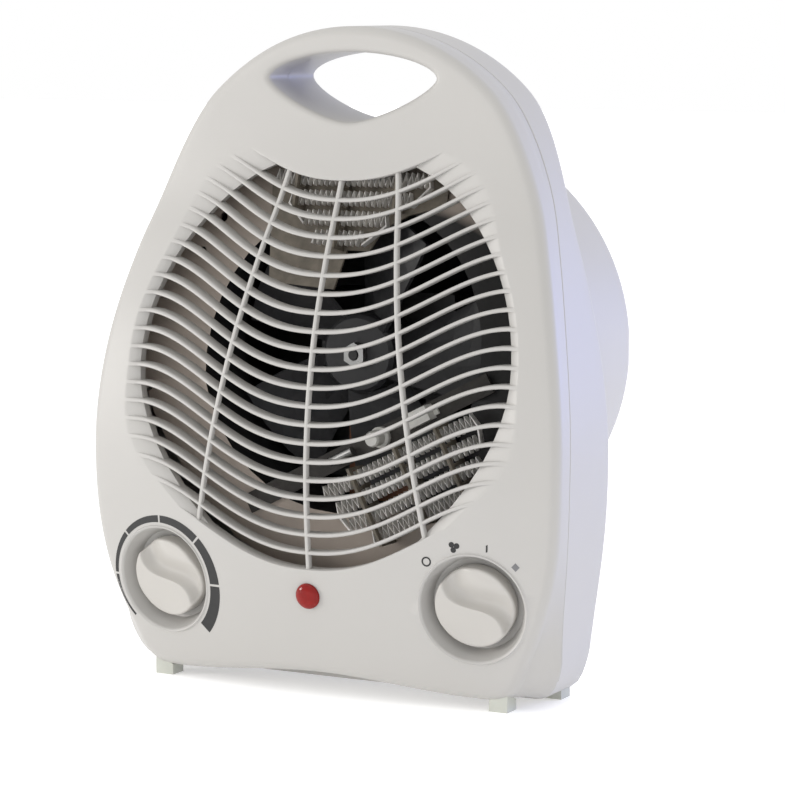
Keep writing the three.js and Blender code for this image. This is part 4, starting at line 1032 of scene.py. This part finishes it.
# ------------------------------------------------------------------ heating element
def zigzag_ribbon(name, node, origin, turn, lean, rows, pitch=2.5, height=5.4, width=3.0):
    """A thin ribbon folded to and fro along each row. Rows are (from, to, height)."""
    shell = Shell()
    turned = Matrix.Rotation(lean, 4, "X") @ Matrix.Rotation(turn, 4, "Y")
    place = Matrix.Translation(origin) @ turned
    path = []
    for row, (low, high, z) in enumerate(rows):
        count = int(round((high - low) / (pitch / 2)))
        xs = np.linspace(low, high, count + 1)
        line = [(x, z + (0.5 if i % 2 else -0.5) * height) for i, x in enumerate(xs)]
        path.extend(line if row % 2 == 0 else line[::-1])
    path = np.array(path)
    along = np.gradient(path, axis=0)
    across = np.stack([-along[:, 1], along[:, 0]], axis=1)
    across /= np.linalg.norm(across, axis=1)[:, None]
    half_thick = 0.4
    sides = []
    for sign, y in ((1, -width / 2), (1, width / 2), (-1, width / 2), (-1, -width / 2)):
        edge = path + across * sign * half_thick
        sides.append([tuple(place @ Vector((x, y, z))) for x, z in edge])
    index = [shell.add(side) for side in sides]
    for k in range(4):
        shell.bridge(index[k], index[(k + 1) % 4], closed=False)
    shell.build(name, [ALLOY], slot="heating_alloy", replaces=[node], sharp=30)


def heating_wires():
    """Four rows low on the right that rise to the right, and four leaning rows at the top."""
    baffle_y, bank_depth, row_spacing = -34.4, 8.0, 8.0
    lean = 0.2588
    lower = [(-25, 25), (-32.5, 32.5), (-35, 35), (-37.5, 37.5)]
    rows = [(low, high, (i - 1.5) * row_spacing) for i, (low, high) in enumerate(lower)]
    zigzag_ribbon("element_lower", "heating_wire_lower", Vector((38, baffle_y - bank_depth, 86)),
                  math.radians(-27), 0.0, rows)
    upper_z = 190.0
    tilt = math.atan(lean)
    origin = Vector((0, baffle_y + lean * (upper_z - 120), upper_z))
    out = Vector((0, -math.cos(tilt), math.sin(tilt))) * 6.4
    rows = [(-15, 7.5, -12), (-20, 17.5, -4), (-27.5, 27.5, 4), (-35, 35, 12)]
    zigzag_ribbon("element_upper", "heating_wire_upper", origin + out, 0.0, -tilt, rows)


# ------------------------------------------------------------------ looks of the other CAD nodes
NODE_LOOKS = {
    "duct_steel": DUCT_STEEL_AND_SHADE, "mica": MICA, "steel": STEEL, "copper_winding": COPPER, "ceramic": CERAMIC,
    "foot_rubber": RUBBER, "fan_plastic": FAN_GREY, "brass": BRASS, "black_plastic": BLACK,
    "white_plastic": WHITE, "red_lens": RED, "heating_alloy": ALLOY, "lamp_glow": CERAMIC,
}


def finish_nodes():
    """Gives every CAD node its material; the inside of the duct's bore and the mica bridge get
    near-black painted shade.
    """
    slots = {part["node"]: part["material_slot"] for part in frame["record"]["subparts"]}
    for name, node in frame["nodes"].items():
        node.data.materials.clear()
        hidden_motor = name.startswith("motor_") and slots[name] == "steel"
        node.data.materials.append(MOTOR_STEEL if hidden_motor else NODE_LOOKS[slots[name]])
        node.data.polygons.foreach_set("use_smooth", [True] * len(node.data.polygons))
        node.data.set_sharp_from_angle(angle=math.radians(32))
    # The mica bridge gets the near-black copy of the mica: painted shade.
    frame["nodes"]["mica_bridge"].data.materials[0] = MICA_IN_PAINTED_SHADE
    # The bore's inner wall gets the near-black painted shade.
    duct = frame["nodes"]["air_duct"].data
    duct.materials.append(PAINTED_SHADE_INSIDE)
    for polygon in duct.polygons:
        x, _, z = polygon.center / MM
        if abs(polygon.normal.y) < 0.5 and math.hypot(x, z - FAN_Z) < BORE_RADIUS + 2.5:
            polygon.material_index = 1


# ------------------------------------------------------------------ the scene
scene_camera()
studio()
finish_nodes()
LEFT_DIAL, RIGHT_DIAL = dial_matrix(-DIAL_X, DIAL_Z), dial_matrix(DIAL_X, DIAL_Z)
FACE_TREE = front_cover([LEFT_DIAL, RIGHT_DIAL])
rear_cover()
knob("thermostat_grip", LEFT_DIAL, "thermostat_dial", "thermostat_knob")
knob("selector_grip", RIGHT_DIAL, "selector_dial", "selector_knob")
temperature_scale(FACE_TREE, LEFT_DIAL)
heat_symbols(FACE_TREE, RIGHT_DIAL)
lamp()
heating_wires()
